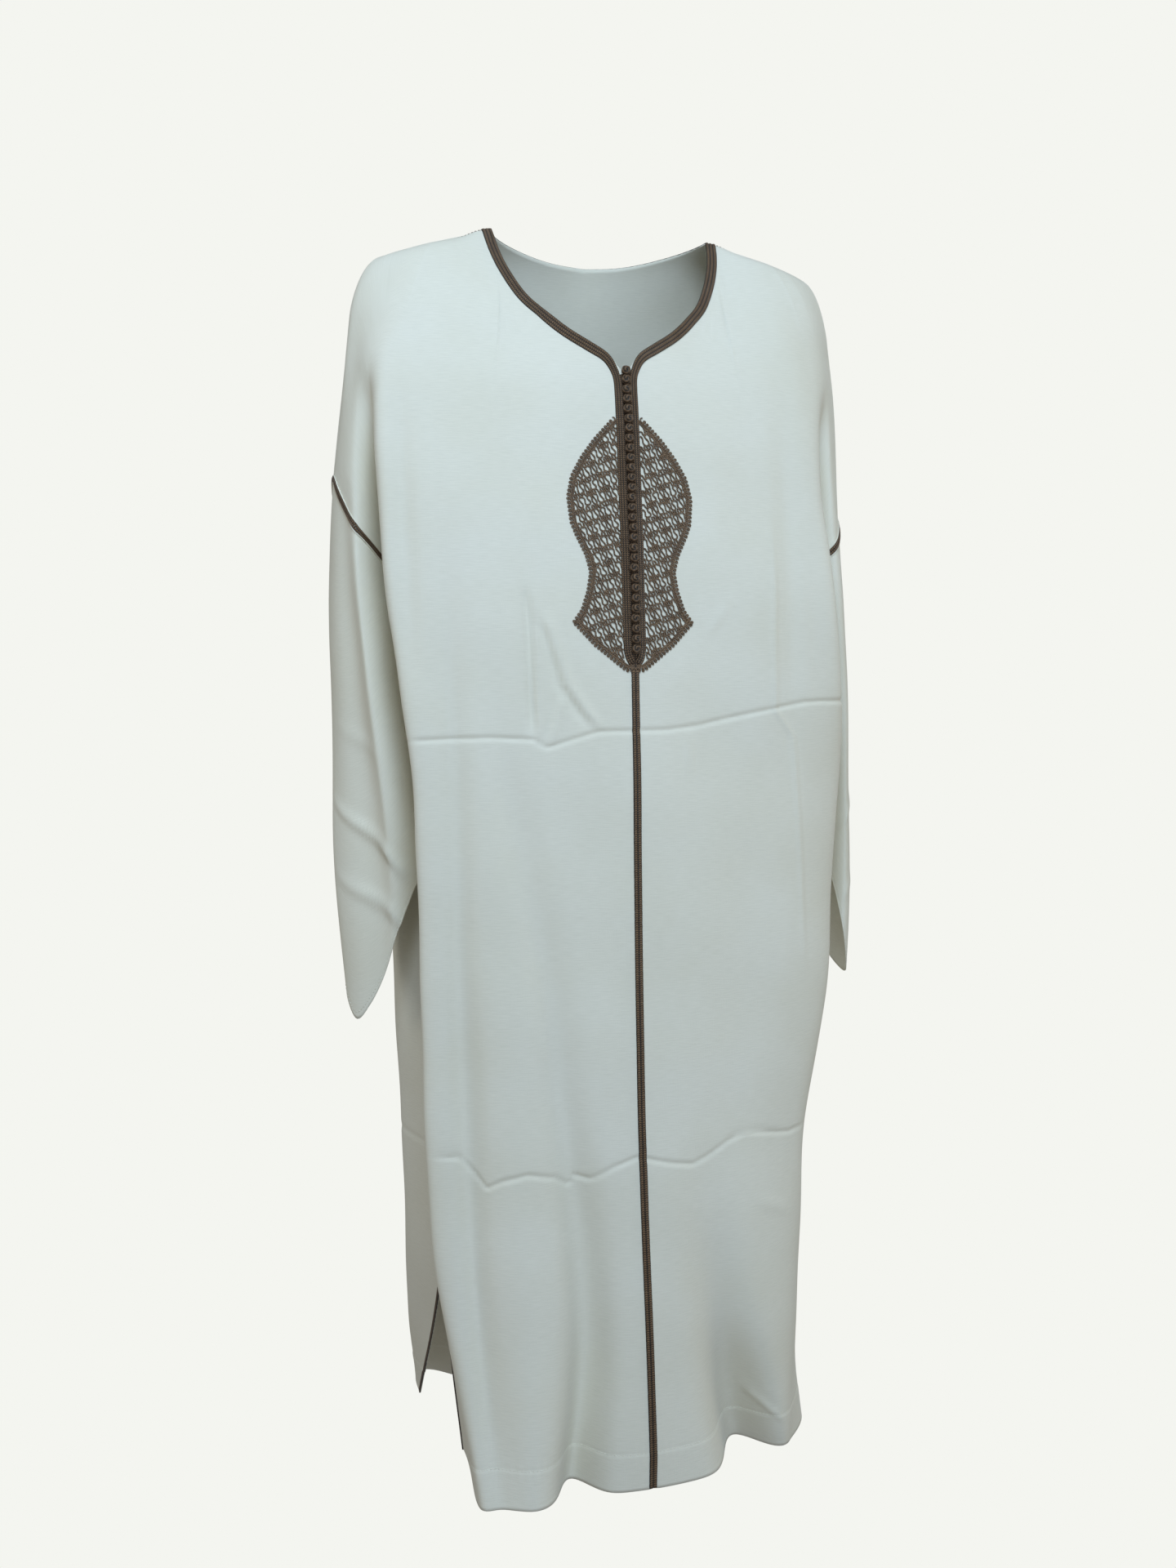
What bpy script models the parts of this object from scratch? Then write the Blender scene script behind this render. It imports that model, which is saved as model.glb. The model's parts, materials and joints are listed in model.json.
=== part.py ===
"""A long hoodless djellaba robe, worn and hollow, with its braids, buttons and chest medallion.

Metres, +Z up. The origin is midway between the two shoulder points of the neck, where the robe hangs.
The front faces -Y and the wearer's right is -X. Heights in the tables are drops below the origin.
"""

import math
from functools import lru_cache

import bmesh
import bpy
import numpy as np
from mathutils import Vector
from mathutils.bvhtree import BVHTree

RIGHT, LEFT = -1, 1
SIDE_NAME = {RIGHT: "right", LEFT: "left"}

# Cloth and seams
WALL = 0.0015
SEAM_GAP = 0.0003
TRIM_LIFT = 0.0004
LIFT_REACH = 0.004

# Heights of the cut, as z
VAULT_FOOT = -0.11
VAULT_RISE = 0.14
RIDGE_HEIGHT = VAULT_FOOT + VAULT_RISE
YOKE_FOOT = -0.20
NECK_TIGHTNESS = 0.85
UNDERARM = -0.42
UNDERARM_EASE = 0.0018
UNDERARM_TACK = 0.012
SLIT_TOP = -1.135
FRONT_HEM = -1.37
BACK_HEM = -1.345

# Rows of points down a panel
SHOULDER_ROWS = 9
YOKE_ROWS = 5
SKIRT_ROWS = 9
SLIT_ROWS = 4
SLEEVE_ROWS = 9

# Columns of points across a panel. 0 is the centre front, NECK_COLUMN the shoulder point of the neck,
# 1 the side, 2 the outer fold of the shoulder and sleeve, 3 the side at the back, 4 the centre back.
NECK_COLUMN = 0.36
NECK_COLUMNS = (0, 0.013, 0.031, 0.07, 0.11, 0.15, 0.19, 0.235, 0.28, 0.315, 0.342)
BODY_COLUMNS = (NECK_COLUMN, 0.45, 0.54, 0.63, 0.72, 0.8, 0.87, 0.94)
ARM_COLUMNS = (1.0, 1.12, 1.26, 1.42, 1.58, 1.74, 1.87, 2.0)
BACK_NECK_COLUMNS = (3.665, 3.70, 3.76, 3.83, 3.91, 4.0)

# Braid, buttons and medallion
NECK_BRAID_WIDTH = 0.012
PLACKET_BRAID_WIDTH = 0.0079
PLACKET_INNER = 0.0056
PLACKET_HEAD = -0.176
PLACKET_FOOT = -0.482
PLACKET_ROWS = 15
# Where the neck's braid leaves the neck's edge for the placket, as a column and a height
PLACKET_COLUMN = 0.0145
NECK_BRAID_FOOT = -0.162
NECK_BRAID_SPACING = 0.0055
BACK_BRAID_SPACING = 0.009
FRONT_BRAID_ROWS = 26
FRONT_BRAID_HEM_GAP = 0.001
FRONT_BRAID_WIDTH = 0.0086
ARMHOLE_BRAID_WIDTH = 0.0065
SLIT_FRONT_TRIM_WIDTH = 0.0018
SLIT_BACK_TRIM_WIDTH = 0.0045
BRAID_HEIGHT = 0.0016
# How high its grooves and edges are, as shares of its ribs, and where its feet stand across it
RIB_GROOVE = 0.45
RIB_EDGE = 0.3
ACROSS = (0, 0.5, 1)
SLIT_TRIM_HEIGHT = 0.0011
BUTTON_COUNT = 29
BUTTON_DIAMETER = 0.0096
BUTTON_TOP = -0.169
BUTTON_PITCH = 0.0109
MEDALLION_TOP = -0.220
MEDALLION_FOOT = -0.4995
MEDALLION_BORDER = 0.008
# How far it rises at its inner edge, in its fill, at the border's foot, its crest and its outer edge
MEDALLION_RISE = (0.0012, 0.0012, 0.0014, 0.0030, 0.0010)
MEDALLION_ROWS = 28
MEDALLION_POINT_ROWS = 4

# Colours, as linear base colour, and roughness
CREAM = (0.72, 0.74, 0.66)
BROWN = (0.070, 0.042, 0.026)
DARK_BROWN = (0.045, 0.027, 0.018)


def table(columns, *rows):
    """A table as named columns; the first one is what the others are read against."""
    names = columns.split()
    columns = {name: np.array([row[i] for row in rows], float) for i, name in enumerate(names)}
    columns["at"] = columns[names[0]]
    columns["slopes"] = {name: np.gradient(columns[name], columns["at"]) for name in names}
    return columns


def read(source, column, at):
    """A column's value, from a smooth curve through the rows, held at both ends."""
    keys, values = source["at"], source[column]
    slopes = source["slopes"][column]
    i = int(np.clip(np.searchsorted(keys, at) - 1, 0, len(keys) - 2))
    span = keys[i + 1] - keys[i]
    t = min(max((at - keys[i]) / span, 0.0), 1.0)
    return float(
        values[i] * (1 + 2 * t) * (1 - t) ** 2
        + slopes[i] * span * t * (1 - t) ** 2
        + values[i + 1] * t * t * (3 - 2 * t)
        + slopes[i + 1] * span * t * t * (t - 1)
    )


# The centre front and centre back, how much the front rounds back halfway to its edge, and how far the
# hem swings to the wearer's left
CENTRE = table(
    "drop front_y back_y rounding swing",
    (0.05, -0.062, 0.085, 0.45, 0),
    (0.11, -0.080, 0.098, 0.45, 0),
    (0.17, -0.097, 0.108, 0.26, 0),
    (0.23, -0.108, 0.114, 0.22, 0),
    (0.30, -0.118, 0.118, 0.22, 0),
    (0.36, -0.126, 0.119, 0.22, 0),
    (0.42, -0.132, 0.120, 0.22, 0),
    (0.50, -0.137, 0.121, 0.22, 0),
    (0.60, -0.142, 0.122, 0.22, 0),
    (0.70, -0.146, 0.123, 0.22, 0),
    (0.85, -0.150, 0.125, 0.22, 0.001),
    (1.00, -0.153, 0.130, 0.22, 0.003),
    (1.15, -0.156, 0.145, 0.22, 0.008),
    (1.25, -0.156, 0.162, 0.22, 0.012),
    (1.37, -0.152, 0.188, 0.22, 0.016),
)
BACK_ROUNDING = 0.22

# The body's plan at each height: the front's outer edge, the side at its front and back layers,
# and the back's outer lobe. x is the distance from the centre plane.
BODY = {
    RIGHT: table(
        "drop edge_x edge_y side_x side_y rear_x rear_y lobe_x lobe_y",
        (0.11, 0.235, -0.052, 0.257, -0.040, 0.257, 0.044, 0.235, 0.058),
        (0.17, 0.258, -0.062, 0.272, -0.045, 0.272, 0.054, 0.250, 0.075),
        (0.23, 0.266, -0.072, 0.262, -0.035, 0.262, 0.050, 0.256, 0.083),
        (0.30, 0.266, -0.082, 0.250, -0.020, 0.250, 0.038, 0.258, 0.088),
        (0.36, 0.266, -0.088, 0.236, -0.008, 0.236, 0.022, 0.256, 0.086),
        (0.42, 0.262, -0.092, 0.222, 0.005, 0.222, 0.005, 0.250, 0.080),
        (0.50, 0.252, -0.100, 0.205, -0.010, 0.205, -0.010, 0.245, 0.075),
        (0.60, 0.238, -0.108, 0.195, -0.025, 0.195, -0.025, 0.234, 0.070),
        (0.70, 0.232, -0.110, 0.195, -0.033, 0.195, -0.033, 0.232, 0.060),
        (0.85, 0.228, -0.112, 0.197, -0.045, 0.197, -0.045, 0.228, 0.050),
        (1.00, 0.222, -0.115, 0.198, -0.055, 0.198, -0.055, 0.222, 0.050),
        (1.135, 0.210, -0.118, 0.196, -0.060, 0.196, -0.060, 0.218, 0.052),
        (1.25, 0.190, -0.128, 0.180, -0.032, 0.194, 0.017, 0.205, 0.100),
        (1.37, 0.172, -0.148, 0.160, 0.000, 0.188, 0.130, 0.172, 0.196),
    ),
    LEFT: table(
        "drop edge_x edge_y side_x side_y rear_x rear_y lobe_x lobe_y",
        (0.11, 0.228, -0.052, 0.250, -0.040, 0.250, 0.044, 0.230, 0.058),
        (0.17, 0.240, -0.062, 0.260, -0.042, 0.260, 0.054, 0.246, 0.075),
        (0.23, 0.240, -0.072, 0.252, -0.035, 0.252, 0.050, 0.252, 0.083),
        (0.30, 0.241, -0.078, 0.243, -0.020, 0.243, 0.038, 0.254, 0.088),
        (0.36, 0.248, -0.084, 0.232, -0.008, 0.232, 0.022, 0.252, 0.086),
        (0.42, 0.252, -0.087, 0.222, 0.005, 0.222, 0.005, 0.248, 0.080),
        (0.50, 0.262, -0.080, 0.232, 0.000, 0.232, 0.000, 0.250, 0.076),
        (0.60, 0.270, -0.062, 0.244, 0.000, 0.244, 0.000, 0.250, 0.072),
        (0.70, 0.264, -0.060, 0.244, -0.004, 0.244, -0.004, 0.250, 0.070),
        (0.85, 0.252, -0.065, 0.232, -0.010, 0.232, -0.010, 0.246, 0.068),
        (1.00, 0.224, -0.070, 0.214, -0.016, 0.214, -0.016, 0.240, 0.066),
        (1.135, 0.218, -0.070, 0.210, -0.020, 0.210, -0.020, 0.236, 0.070),
        (1.25, 0.212, -0.068, 0.226, -0.006, 0.232, 0.032, 0.226, 0.106),
        (1.37, 0.202, -0.080, 0.245, 0.010, 0.244, 0.078, 0.205, 0.180),
    ),
}
# How far out the panel turns its corner, as a share of the edge's distance
CORNER_SHARE = {RIGHT: 0.78, LEFT: 0.84}

# The shoulder's end above the underarm, and the sleeve below it: the inner fold, the front bulge, the
# outer fold and the back bulge
ARM = {
    RIGHT: table(
        "drop inner_x inner_y bulge_x bulge_y fold_x fold_y rear_x rear_y",
        (0.11, 0.257, 0.002, 0.277, -0.021, 0.288, 0.000, 0.277, 0.028),
        (0.17, 0.272, 0.004, 0.283, -0.022, 0.293, 0.004, 0.283, 0.036),
        (0.23, 0.262, 0.005, 0.286, -0.028, 0.298, 0.008, 0.286, 0.045),
        (0.30, 0.250, 0.005, 0.288, -0.035, 0.304, 0.014, 0.288, 0.056),
        (0.36, 0.236, 0.005, 0.288, -0.040, 0.306, 0.018, 0.288, 0.061),
        (0.42, 0.2242, 0.005, 0.285, -0.044, 0.307, 0.020, 0.285, 0.062),
        (0.50, 0.226, 0.000, 0.278, -0.050, 0.305, 0.020, 0.280, 0.055),
        (0.60, 0.219, -0.010, 0.266, -0.052, 0.304, 0.018, 0.270, 0.048),
        (0.68, 0.212, -0.020, 0.258, -0.050, 0.303, 0.015, 0.262, 0.044),
        (0.78, 0.196, -0.020, 0.250, -0.042, 0.297, 0.010, 0.252, 0.038),
        (0.89, 0.186, -0.015, 0.245, -0.030, 0.287, 0.005, 0.246, 0.030),
    ),
    LEFT: table(
        "drop inner_x inner_y bulge_x bulge_y fold_x fold_y rear_x rear_y",
        (0.11, 0.250, 0.002, 0.268, -0.021, 0.280, 0.000, 0.270, 0.028),
        (0.17, 0.260, 0.004, 0.273, -0.024, 0.288, 0.004, 0.276, 0.036),
        (0.23, 0.252, 0.005, 0.273, -0.030, 0.294, 0.008, 0.280, 0.045),
        (0.30, 0.243, 0.005, 0.273, -0.034, 0.296, 0.010, 0.283, 0.058),
        (0.36, 0.232, 0.005, 0.275, -0.038, 0.297, 0.010, 0.285, 0.064),
        (0.42, 0.2242, 0.005, 0.278, -0.040, 0.299, 0.010, 0.287, 0.070),
        (0.50, 0.248, 0.006, 0.285, -0.036, 0.303, 0.010, 0.293, 0.080),
        (0.60, 0.274, 0.010, 0.291, -0.030, 0.308, 0.010, 0.297, 0.086),
        (0.70, 0.278, 0.014, 0.293, -0.026, 0.311, 0.012, 0.300, 0.086),
        (0.80, 0.276, 0.018, 0.292, -0.020, 0.312, 0.016, 0.300, 0.082),
        (0.89, 0.272, 0.022, 0.290, -0.014, 0.311, 0.020, 0.298, 0.076),
    ),
}

# The top of the shoulder, from the centre plane out to where it turns down
RIDGE = table(
    "column x z",
    (0, 0, 0),
    (0.18, 0.068, 0),
    (NECK_COLUMN, 0.128, 0),
    (0.6, 0.162, -0.0105),
    (0.8, 0.186, -0.0178),
    (1, 0.205, -0.0235),
    (1.5, 0.229, -0.0310),
    (2, 0.245, -0.0370),
)
# The cloth would arch this far over the back of the neck if it weren't cut away
BACK_NECK_ARCH = (0.02, 0.03)

NECK_FRONT = table(
    "x drop",
    (0, 0.170),
    (0.0083, 0.1625),
    (0.0130, 0.1545),
    (0.0320, 0.1400),
    (0.0620, 0.1200),
    (0.0850, 0.0985),
    (0.1015, 0.0800),
    (0.1120, 0.0600),
    (0.1200, 0.0400),
    (0.1255, 0.0180),
    (0.1280, 0),
)
NECK_BACK = table("x drop", (0, 0.022), (0.04, 0.020), (0.08, 0.0135), (0.11, 0.006), (0.128, 0))

# The seam that joins each sleeve to its dropped armhole, and the cuff's edge, round the sleeve
ARMHOLE = {
    RIGHT: table("column drop", (1, 0.42), (1.3, 0.362), (1.6, 0.330), (2, 0.2845), (2.4, 0.318), (3, 0.42)),
    LEFT: table("column drop", (1, 0.42), (1.3, 0.372), (1.6, 0.346), (2, 0.318), (2.4, 0.342), (3, 0.42)),
}
CUFF = {
    RIGHT: table(
        "column drop",
        (1, 0.678),
        (1.25, 0.735),
        (1.5, 0.800),
        (1.7, 0.862),
        (1.82, 0.880),
        (2, 0.856),
        (2.5, 0.800),
        (3, 0.678),
    ),
    LEFT: table("column drop", (1, 0.690), (1.5, 0.800), (1.8, 0.850), (2, 0.858), (2.5, 0.810), (3, 0.690)),
}

# The largest folds, as troughs down the panel: where each one runs, its depth and its half width.
# A depth below zero stands out.
FRONT_FOLDS = {
    "right_side": table(
        "drop x depth width",
        (0.18, -0.244, 0, 0.012),
        (0.28, -0.244, 0.006, 0.012),
        (0.42, -0.240, 0.006, 0.012),
        (0.52, -0.236, 0, 0.012),
    ),
    "right_long": table(
        "drop x depth width",
        (0.32, -0.198, 0, 0.014),
        (0.50, -0.196, 0.004, 0.014),
        (0.75, -0.190, 0.007, 0.014),
        (1.00, -0.180, 0.010, 0.014),
        (1.20, -0.168, 0.010, 0.013),
        (1.37, -0.152, 0.004, 0.012),
    ),
    "right_diagonal": table(
        "drop x depth width",
        (0.45, -0.162, 0, 0.022),
        (0.55, -0.150, 0.003, 0.022),
        (0.69, -0.1225, 0.006, 0.022),
        (0.83, -0.0953, 0.009, 0.022),
        (0.97, -0.0788, 0.013, 0.022),
        (1.11, -0.0600, 0.020, 0.022),
        (1.20, -0.0530, 0.028, 0.022),
        (1.37, -0.0640, 0.046, 0.021),
    ),
    "right_bulge": table(
        "drop x depth width",
        (0.80, -0.150, 0, 0.03),
        (1.10, -0.128, -0.008, 0.03),
        (1.25, -0.122, -0.013, 0.03),
        (1.37, -0.118, -0.019, 0.03),
    ),
    "left_hem": table(
        "drop x depth width",
        (1.00, 0.075, 0, 0.030),
        (1.12, 0.085, 0.008, 0.030),
        (1.205, 0.100, 0.022, 0.030),
        (1.30, 0.124, 0.052, 0.032),
        (1.37, 0.1435, 0.078, 0.032),
    ),
    "left_soft": table(
        "drop x depth width",
        (0.14, 0.188, 0, 0.016),
        (0.30, 0.188, 0.0035, 0.016),
        (0.65, 0.190, 0, 0.016),
    ),
}
BACK_FOLDS = {
    "back_right": table(
        "drop x depth width",
        (0.50, -0.100, 0, 0.026),
        (0.80, -0.118, 0.009, 0.026),
        (1.10, -0.128, 0.020, 0.028),
        (1.37, -0.124, 0.040, 0.030),
    ),
    "back_middle": table(
        "drop x depth width",
        (0.62, 0.020, 0, 0.026),
        (0.90, 0.006, 0.008, 0.026),
        (1.15, -0.008, 0.018, 0.028),
        (1.37, -0.016, 0.034, 0.028),
    ),
    "back_left": table(
        "drop x depth width",
        (0.45, 0.120, 0, 0.026),
        (0.80, 0.128, 0.008, 0.026),
        (1.10, 0.124, 0.018, 0.028),
        (1.37, 0.112, 0.038, 0.030),
    ),
}
SLEEVE_FOLD = table(
    "drop column depth width",
    (0.28, 1.68, 0, 0.13),
    (0.40, 1.67, 0.009, 0.13),
    (0.60, 1.65, 0.012, 0.13),
    (0.80, 1.60, 0.007, 0.13),
    (0.90, 1.58, 0.003, 0.13),
)

# The medallion's half outline, out from the centre line
MEDALLION = table(
    "drop half",
    (0.2200, 0.0160),
    (0.2454, 0.0395),
    (0.2646, 0.0538),
    (0.2863, 0.0662),
    (0.3100, 0.0717),
    (0.3385, 0.0690),
    (0.3516, 0.0640),
    (0.3734, 0.0537),
    (0.3910, 0.0492),
    (0.4110, 0.0526),
    (0.4314, 0.0595),
    (0.4455, 0.0699),
    (0.4715, 0.0457),
    (0.4907, 0.0215),
    (0.4995, 0.0100),
)


def pair(source, name, at):
    return np.array([read(source, name + "_x", at), read(source, name + "_y", at)])


def between(start, end, share):
    return start + (end - start) * share


@lru_cache(maxsize=None)
def body_keys(side, drop):
    """The body's plan at one height, as (column, point) keys on that side, x out from the centre."""
    front = np.array([0.0, read(CENTRE, "front_y", drop)])
    back = np.array([0.0, read(CENTRE, "back_y", drop)])
    edge, lobe = pair(BODY[side], "edge", drop), pair(BODY[side], "lobe", drop)
    near, far = pair(BODY[side], "side", drop), pair(BODY[side], "rear", drop)
    if -UNDERARM <= drop <= -SLIT_TOP:
        far = near.copy()
    ease = UNDERARM_EASE * max(0.0, 1 - abs(drop + UNDERARM) / UNDERARM_TACK)
    near[1], far[1] = near[1] - ease, far[1] + ease
    keys = {0.0: front, 0.8: edge, 1.0: near, 3.0: far, 3.2: lobe, 4.0: back}
    rounding = read(CENTRE, "rounding", drop)
    for column, centre, outer, flat in ((0.3, front, edge, rounding), (3.7, back, lobe, BACK_ROUNDING)):
        keys[column] = np.array([0.5 * outer[0], between(centre[1], outer[1], flat)])
    corner = CORNER_SHARE[side]
    for column, centre, outer in ((0.6, front, edge), (3.4, back, lobe)):
        keys[column] = np.array([corner * outer[0], between(centre[1], outer[1], 0.55)])
    keys[-0.3], keys[4.3] = keys[0.3] * (-1, 1), keys[3.7] * (-1, 1)
    return keys


@lru_cache(maxsize=None)
def arm_keys(side, drop):
    inner = pair(ARM[side], "inner", drop)
    bulge, fold, rear = (pair(ARM[side], name, drop) for name in ("bulge", "fold", "rear"))
    return {0.5: rear, 1.0: inner, 1.5: bulge, 2.0: fold, 2.5: rear, 3.0: inner, 3.5: bulge}


def plan_keys(side, column, drop, sleeve):
    """The keys that a column's layer passes through: the whole loop above the underarm, and the sleeve,
    the front or the back below it. There the front and the back pass straight into each other."""
    if drop < -UNDERARM:
        arm = arm_keys(side, drop)
        keys = {**body_keys(side, drop), **{place: arm[place] for place in (1.5, 2.0, 2.5)}}
    elif sleeve:
        keys = arm_keys(side, drop)
    else:
        body = body_keys(side, drop)
        keys = {place: point for place, point in body.items() if (place <= 1) == (column <= 1)}
        if column <= 1:
            keys[1.2] = body[3.2]
        else:
            keys[2.6] = body[0.8]
    return sorted(keys.items(), key=lambda item: item[0])


def plan_point(side, column, drop, sleeve=False):
    """The layer's point in plan, before its folds, on a smooth curve through the keys."""
    keys = plan_keys(side, column, drop, sleeve)
    columns = [place for place, _ in keys]
    points = [point for _, point in keys]
    i = int(np.clip(np.searchsorted(columns, column) - 1, 1, len(keys) - 3))
    span = columns[i + 1] - columns[i]
    t = (column - columns[i]) / span
    chord = np.linalg.norm(points[i + 1] - points[i])

    def slope(k):
        value = (points[k + 1] - points[k - 1]) / (columns[k + 1] - columns[k - 1]) * span
        if columns[k] in (1.0, 3.0):
            value = value * min(1.0, 0.15 + abs(drop + UNDERARM) / 0.07)
        size = np.linalg.norm(value)
        return value * min(1.0, 1.25 * chord / max(size, 1e-9))

    start, end = slope(i), slope(i + 1)
    return (
        points[i] * (1 + 2 * t) * (1 - t) ** 2
        + start * t * (1 - t) ** 2
        + points[i + 1] * t * t * (3 - 2 * t)
        + end * t * t * (t - 1)
    )


def trough(source, at, drop):
    """How deep a fold is at one place along its height."""
    away = (at - read(source, "column" if "column" in source else "x", drop)) / read(source, "width", drop)
    if drop <= source["at"][0] or (drop >= source["at"][-1] and source["depth"][-1] == 0):
        return 0.0
    return read(source, "depth", drop) * math.exp(-away * away)


def layer_point(side, column, z, sleeve=False):
    """The cloth's outer surface at one column and height, below the shoulder's curve."""
    drop = -z
    out, y = plan_point(side, column, drop, sleeve)
    x = side * out
    if sleeve or 1 < column < 3:
        if side == RIGHT:
            depth = trough(SLEEVE_FOLD, column, drop)
            x, y = x + 0.75 * depth, y + 0.66 * depth
        return np.array([x, y, z])
    x += read(CENTRE, "swing", drop) * max(0.0, 1 - min(column, 4 - column) / 0.8)
    shallow = min(1.0, (1 - min(column, 4 - column)) / 0.2)
    folds, inward = (FRONT_FOLDS, 1) if column <= 1 else (BACK_FOLDS, -1)
    y += inward * shallow * sum(trough(fold, x, drop) for fold in folds.values())
    return np.array([x, y, z])


def ridge_point(side, column):
    """The top of the shoulder over a column. Over the neck it only guides the cloth towards its cut."""
    near = min(column, 4 - column)
    x, y, z = side * read(RIDGE, "x", near), 0.0, read(RIDGE, "z", near)
    if column > 2 and near < NECK_COLUMN:
        share = (1 - near / NECK_COLUMN) ** 2
        y, z = y + BACK_NECK_ARCH[0] * share, z + BACK_NECK_ARCH[1] * share
    return np.array([x, y, z])


def cloth(side, column, height, sleeve=False):
    """The cloth's outer surface. Past VAULT_FOOT the height runs over the shoulder's curve to its ridge."""
    if height <= VAULT_FOOT:
        return layer_point(side, column, height, sleeve)
    turn = math.pi / 2 * (1 - (height - VAULT_FOOT) / VAULT_RISE)
    foot, below = (layer_point(side, column, VAULT_FOOT - step, sleeve) for step in (0, 0.01))
    top = ridge_point(side, column)
    z = between(VAULT_FOOT, top[2], math.cos(turn))
    lean = (foot - below)[:2] / 0.01 * (z - VAULT_FOOT) * math.sin(turn) ** 2
    lean[0] *= min(1.0, max(0.0, (1 - abs(column - 2)) / 0.6 + 1))
    # beside the neck the front is drawn straight from the shoulder to the chest, and further out it rounds
    tight = NECK_TIGHTNESS * min(1.0, max(0.0, (0.8 - column) / 0.4))
    out = between(math.sin(turn), 1 - math.cos(turn), tight)
    plan = top[:2] + (foot[:2] - top[:2]) * out + lean * (1 - tight)
    return np.array([plan[0], plan[1], z])


def neck_height(side, column):
    """The height coordinate at which a column meets the neck's cut, or the ridge beside the neck."""
    near = min(column, 4 - column)
    if near >= NECK_COLUMN:
        return RIDGE_HEIGHT
    cut = NECK_FRONT if column < 2 else NECK_BACK
    low, high = YOKE_FOOT, RIDGE_HEIGHT
    for _ in range(40):
        middle = (low + high) / 2
        x, _, z = cloth(side, column, middle)
        low, high = (middle, high) if z < -read(cut, "drop", abs(x)) else (low, middle)
    return low


def steps(start, end, count):
    """The heights after start, in equal steps down to end."""
    return [start + (end - start) * (i + 1) / count for i in range(count)]


def panel_heights(side, column):
    """A column's heights from its top down: shoulder, yoke, then the skirt where it has one."""
    top = neck_height(side, column)
    heights = [top] + steps(top, YOKE_FOOT, SHOULDER_ROWS)
    if 1 < column < 3:
        return heights + steps(YOKE_FOOT, -read(ARMHOLE[side], "drop", column), YOKE_ROWS)
    heights += steps(YOKE_FOOT, UNDERARM, YOKE_ROWS) + [UNDERARM - UNDERARM_TACK]
    heights += steps(UNDERARM - UNDERARM_TACK, SLIT_TOP, SKIRT_ROWS)
    return heights + steps(SLIT_TOP, FRONT_HEM if column <= 1 else BACK_HEM, SLIT_ROWS)


class Sheet:
    """One cloth piece: the points of its outer face, the seams that they lie on, and its faces."""

    def __init__(self, name, material):
        self.name, self.material = name, material
        self.base, self.shift, self.faces, self.normals = [], [], [], None
        self.ids, self.columns = {}, {}

    def add_column(self, side, column, points, shifts):
        first = len(self.base)
        self.base += [np.asarray(p, float) for p in points]
        self.shift += [np.asarray(s, float) for s in shifts]
        self.ids[side, column] = list(range(first, len(self.base)))
        return self.ids[side, column]

    def join(self, left, right, flip):
        """Quads between two neighbouring columns, as far down as both reach."""
        for j in range(min(len(left), len(right)) - 1):
            quad = [left[j], right[j], right[j + 1], left[j + 1]]
            self.faces.append(quad[::-1] if flip else quad)

    def outer(self):
        return np.array(self.base) + np.array(self.shift)

    def own_normals(self):
        points = np.array(self.base)
        sums = np.zeros_like(points)
        for face in self.faces:
            a, b, c, d = (points[i] for i in face)
            normal = np.cross(c - a, d - b)
            sums[face] += normal / max(np.linalg.norm(normal), 1e-12)
        return sums / np.maximum(np.linalg.norm(sums, axis=1), 1e-12)[:, None]


def share_normals(sheets):
    """Points of different pieces that meet on a seam get one normal, so that their walls stay parallel."""
    found = {}
    for sheet in sheets:
        sheet.normals = sheet.own_normals()
        for i, point in enumerate(sheet.base):
            found.setdefault(tuple(np.round(point, 6)), []).append((sheet, i))
    for members in found.values():
        total = sum(sheet.normals[i] for sheet, i in members)
        total = total / np.linalg.norm(total)
        for sheet, i in members:
            sheet.normals[i] = total
    for sheet in sheets:
        point_into_notch(sheet)
        outer = sheet.outer()
        sheet.columns = {key: [(outer[i], sheet.normals[i]) for i in ids] for key, ids in sheet.ids.items()}


def point_into_notch(sheet):
    """At the deep fold above the underarm, where the faces turn back on themselves, the normal points out
    through the fold's mouth."""
    for (side, column), ids in sheet.ids.items():
        if column not in (1.0, 3.0) or sheet.name.startswith("sleeve"):
            continue
        for i in ids:
            point = sheet.base[i]
            if UNDERARM <= point[2] <= YOKE_FOOT:
                beside = (0.8, 1.5) if column < 2 else (3.2, 2.5)
                lips = [plan_point(side, place, -point[2]) for place in beside]
                mouth = sum(lips) / 2 * (side, 1) - point[:2]
                sheet.normals[i] = np.array([*mouth / np.linalg.norm(mouth), 0.0])


def edge_shift(side, column, height, front):
    """A seam's half gap, as a shift of the piece's edge away from its neighbour."""
    half = SEAM_GAP / 2
    away = np.zeros(3)
    on_ridge = height == RIDGE_HEIGHT or column == 2
    on_side = column in (1.0, 3.0) and height <= UNDERARM
    if on_ridge or on_side:
        away[1] = -half if front else half
    if column == 0:
        away[0] = side * half
    if 1 < column < 3 and abs(height + read(ARMHOLE[side], "drop", column)) < 1e-9:
        away[2] = half
    return away


def add_panel_columns(sheet, side, columns, front):
    made = []
    for column in columns:
        heights = panel_heights(side, column)
        points = [cloth(side, column, h) for h in heights]
        shifts = [edge_shift(side, column, h, front) for h in heights]
        made.append(sheet.add_column(side, column, points, shifts))
    return made


def join_columns(sheet, made, flip):
    for left, right in zip(made, made[1:]):
        sheet.join(left, right, flip)


def front_sheet(side, material):
    sheet = Sheet(f"front_{SIDE_NAME[side]}", material)
    made = add_panel_columns(sheet, side, NECK_COLUMNS + BODY_COLUMNS + ARM_COLUMNS, True)
    join_columns(sheet, made, side == LEFT)
    return sheet


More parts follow.
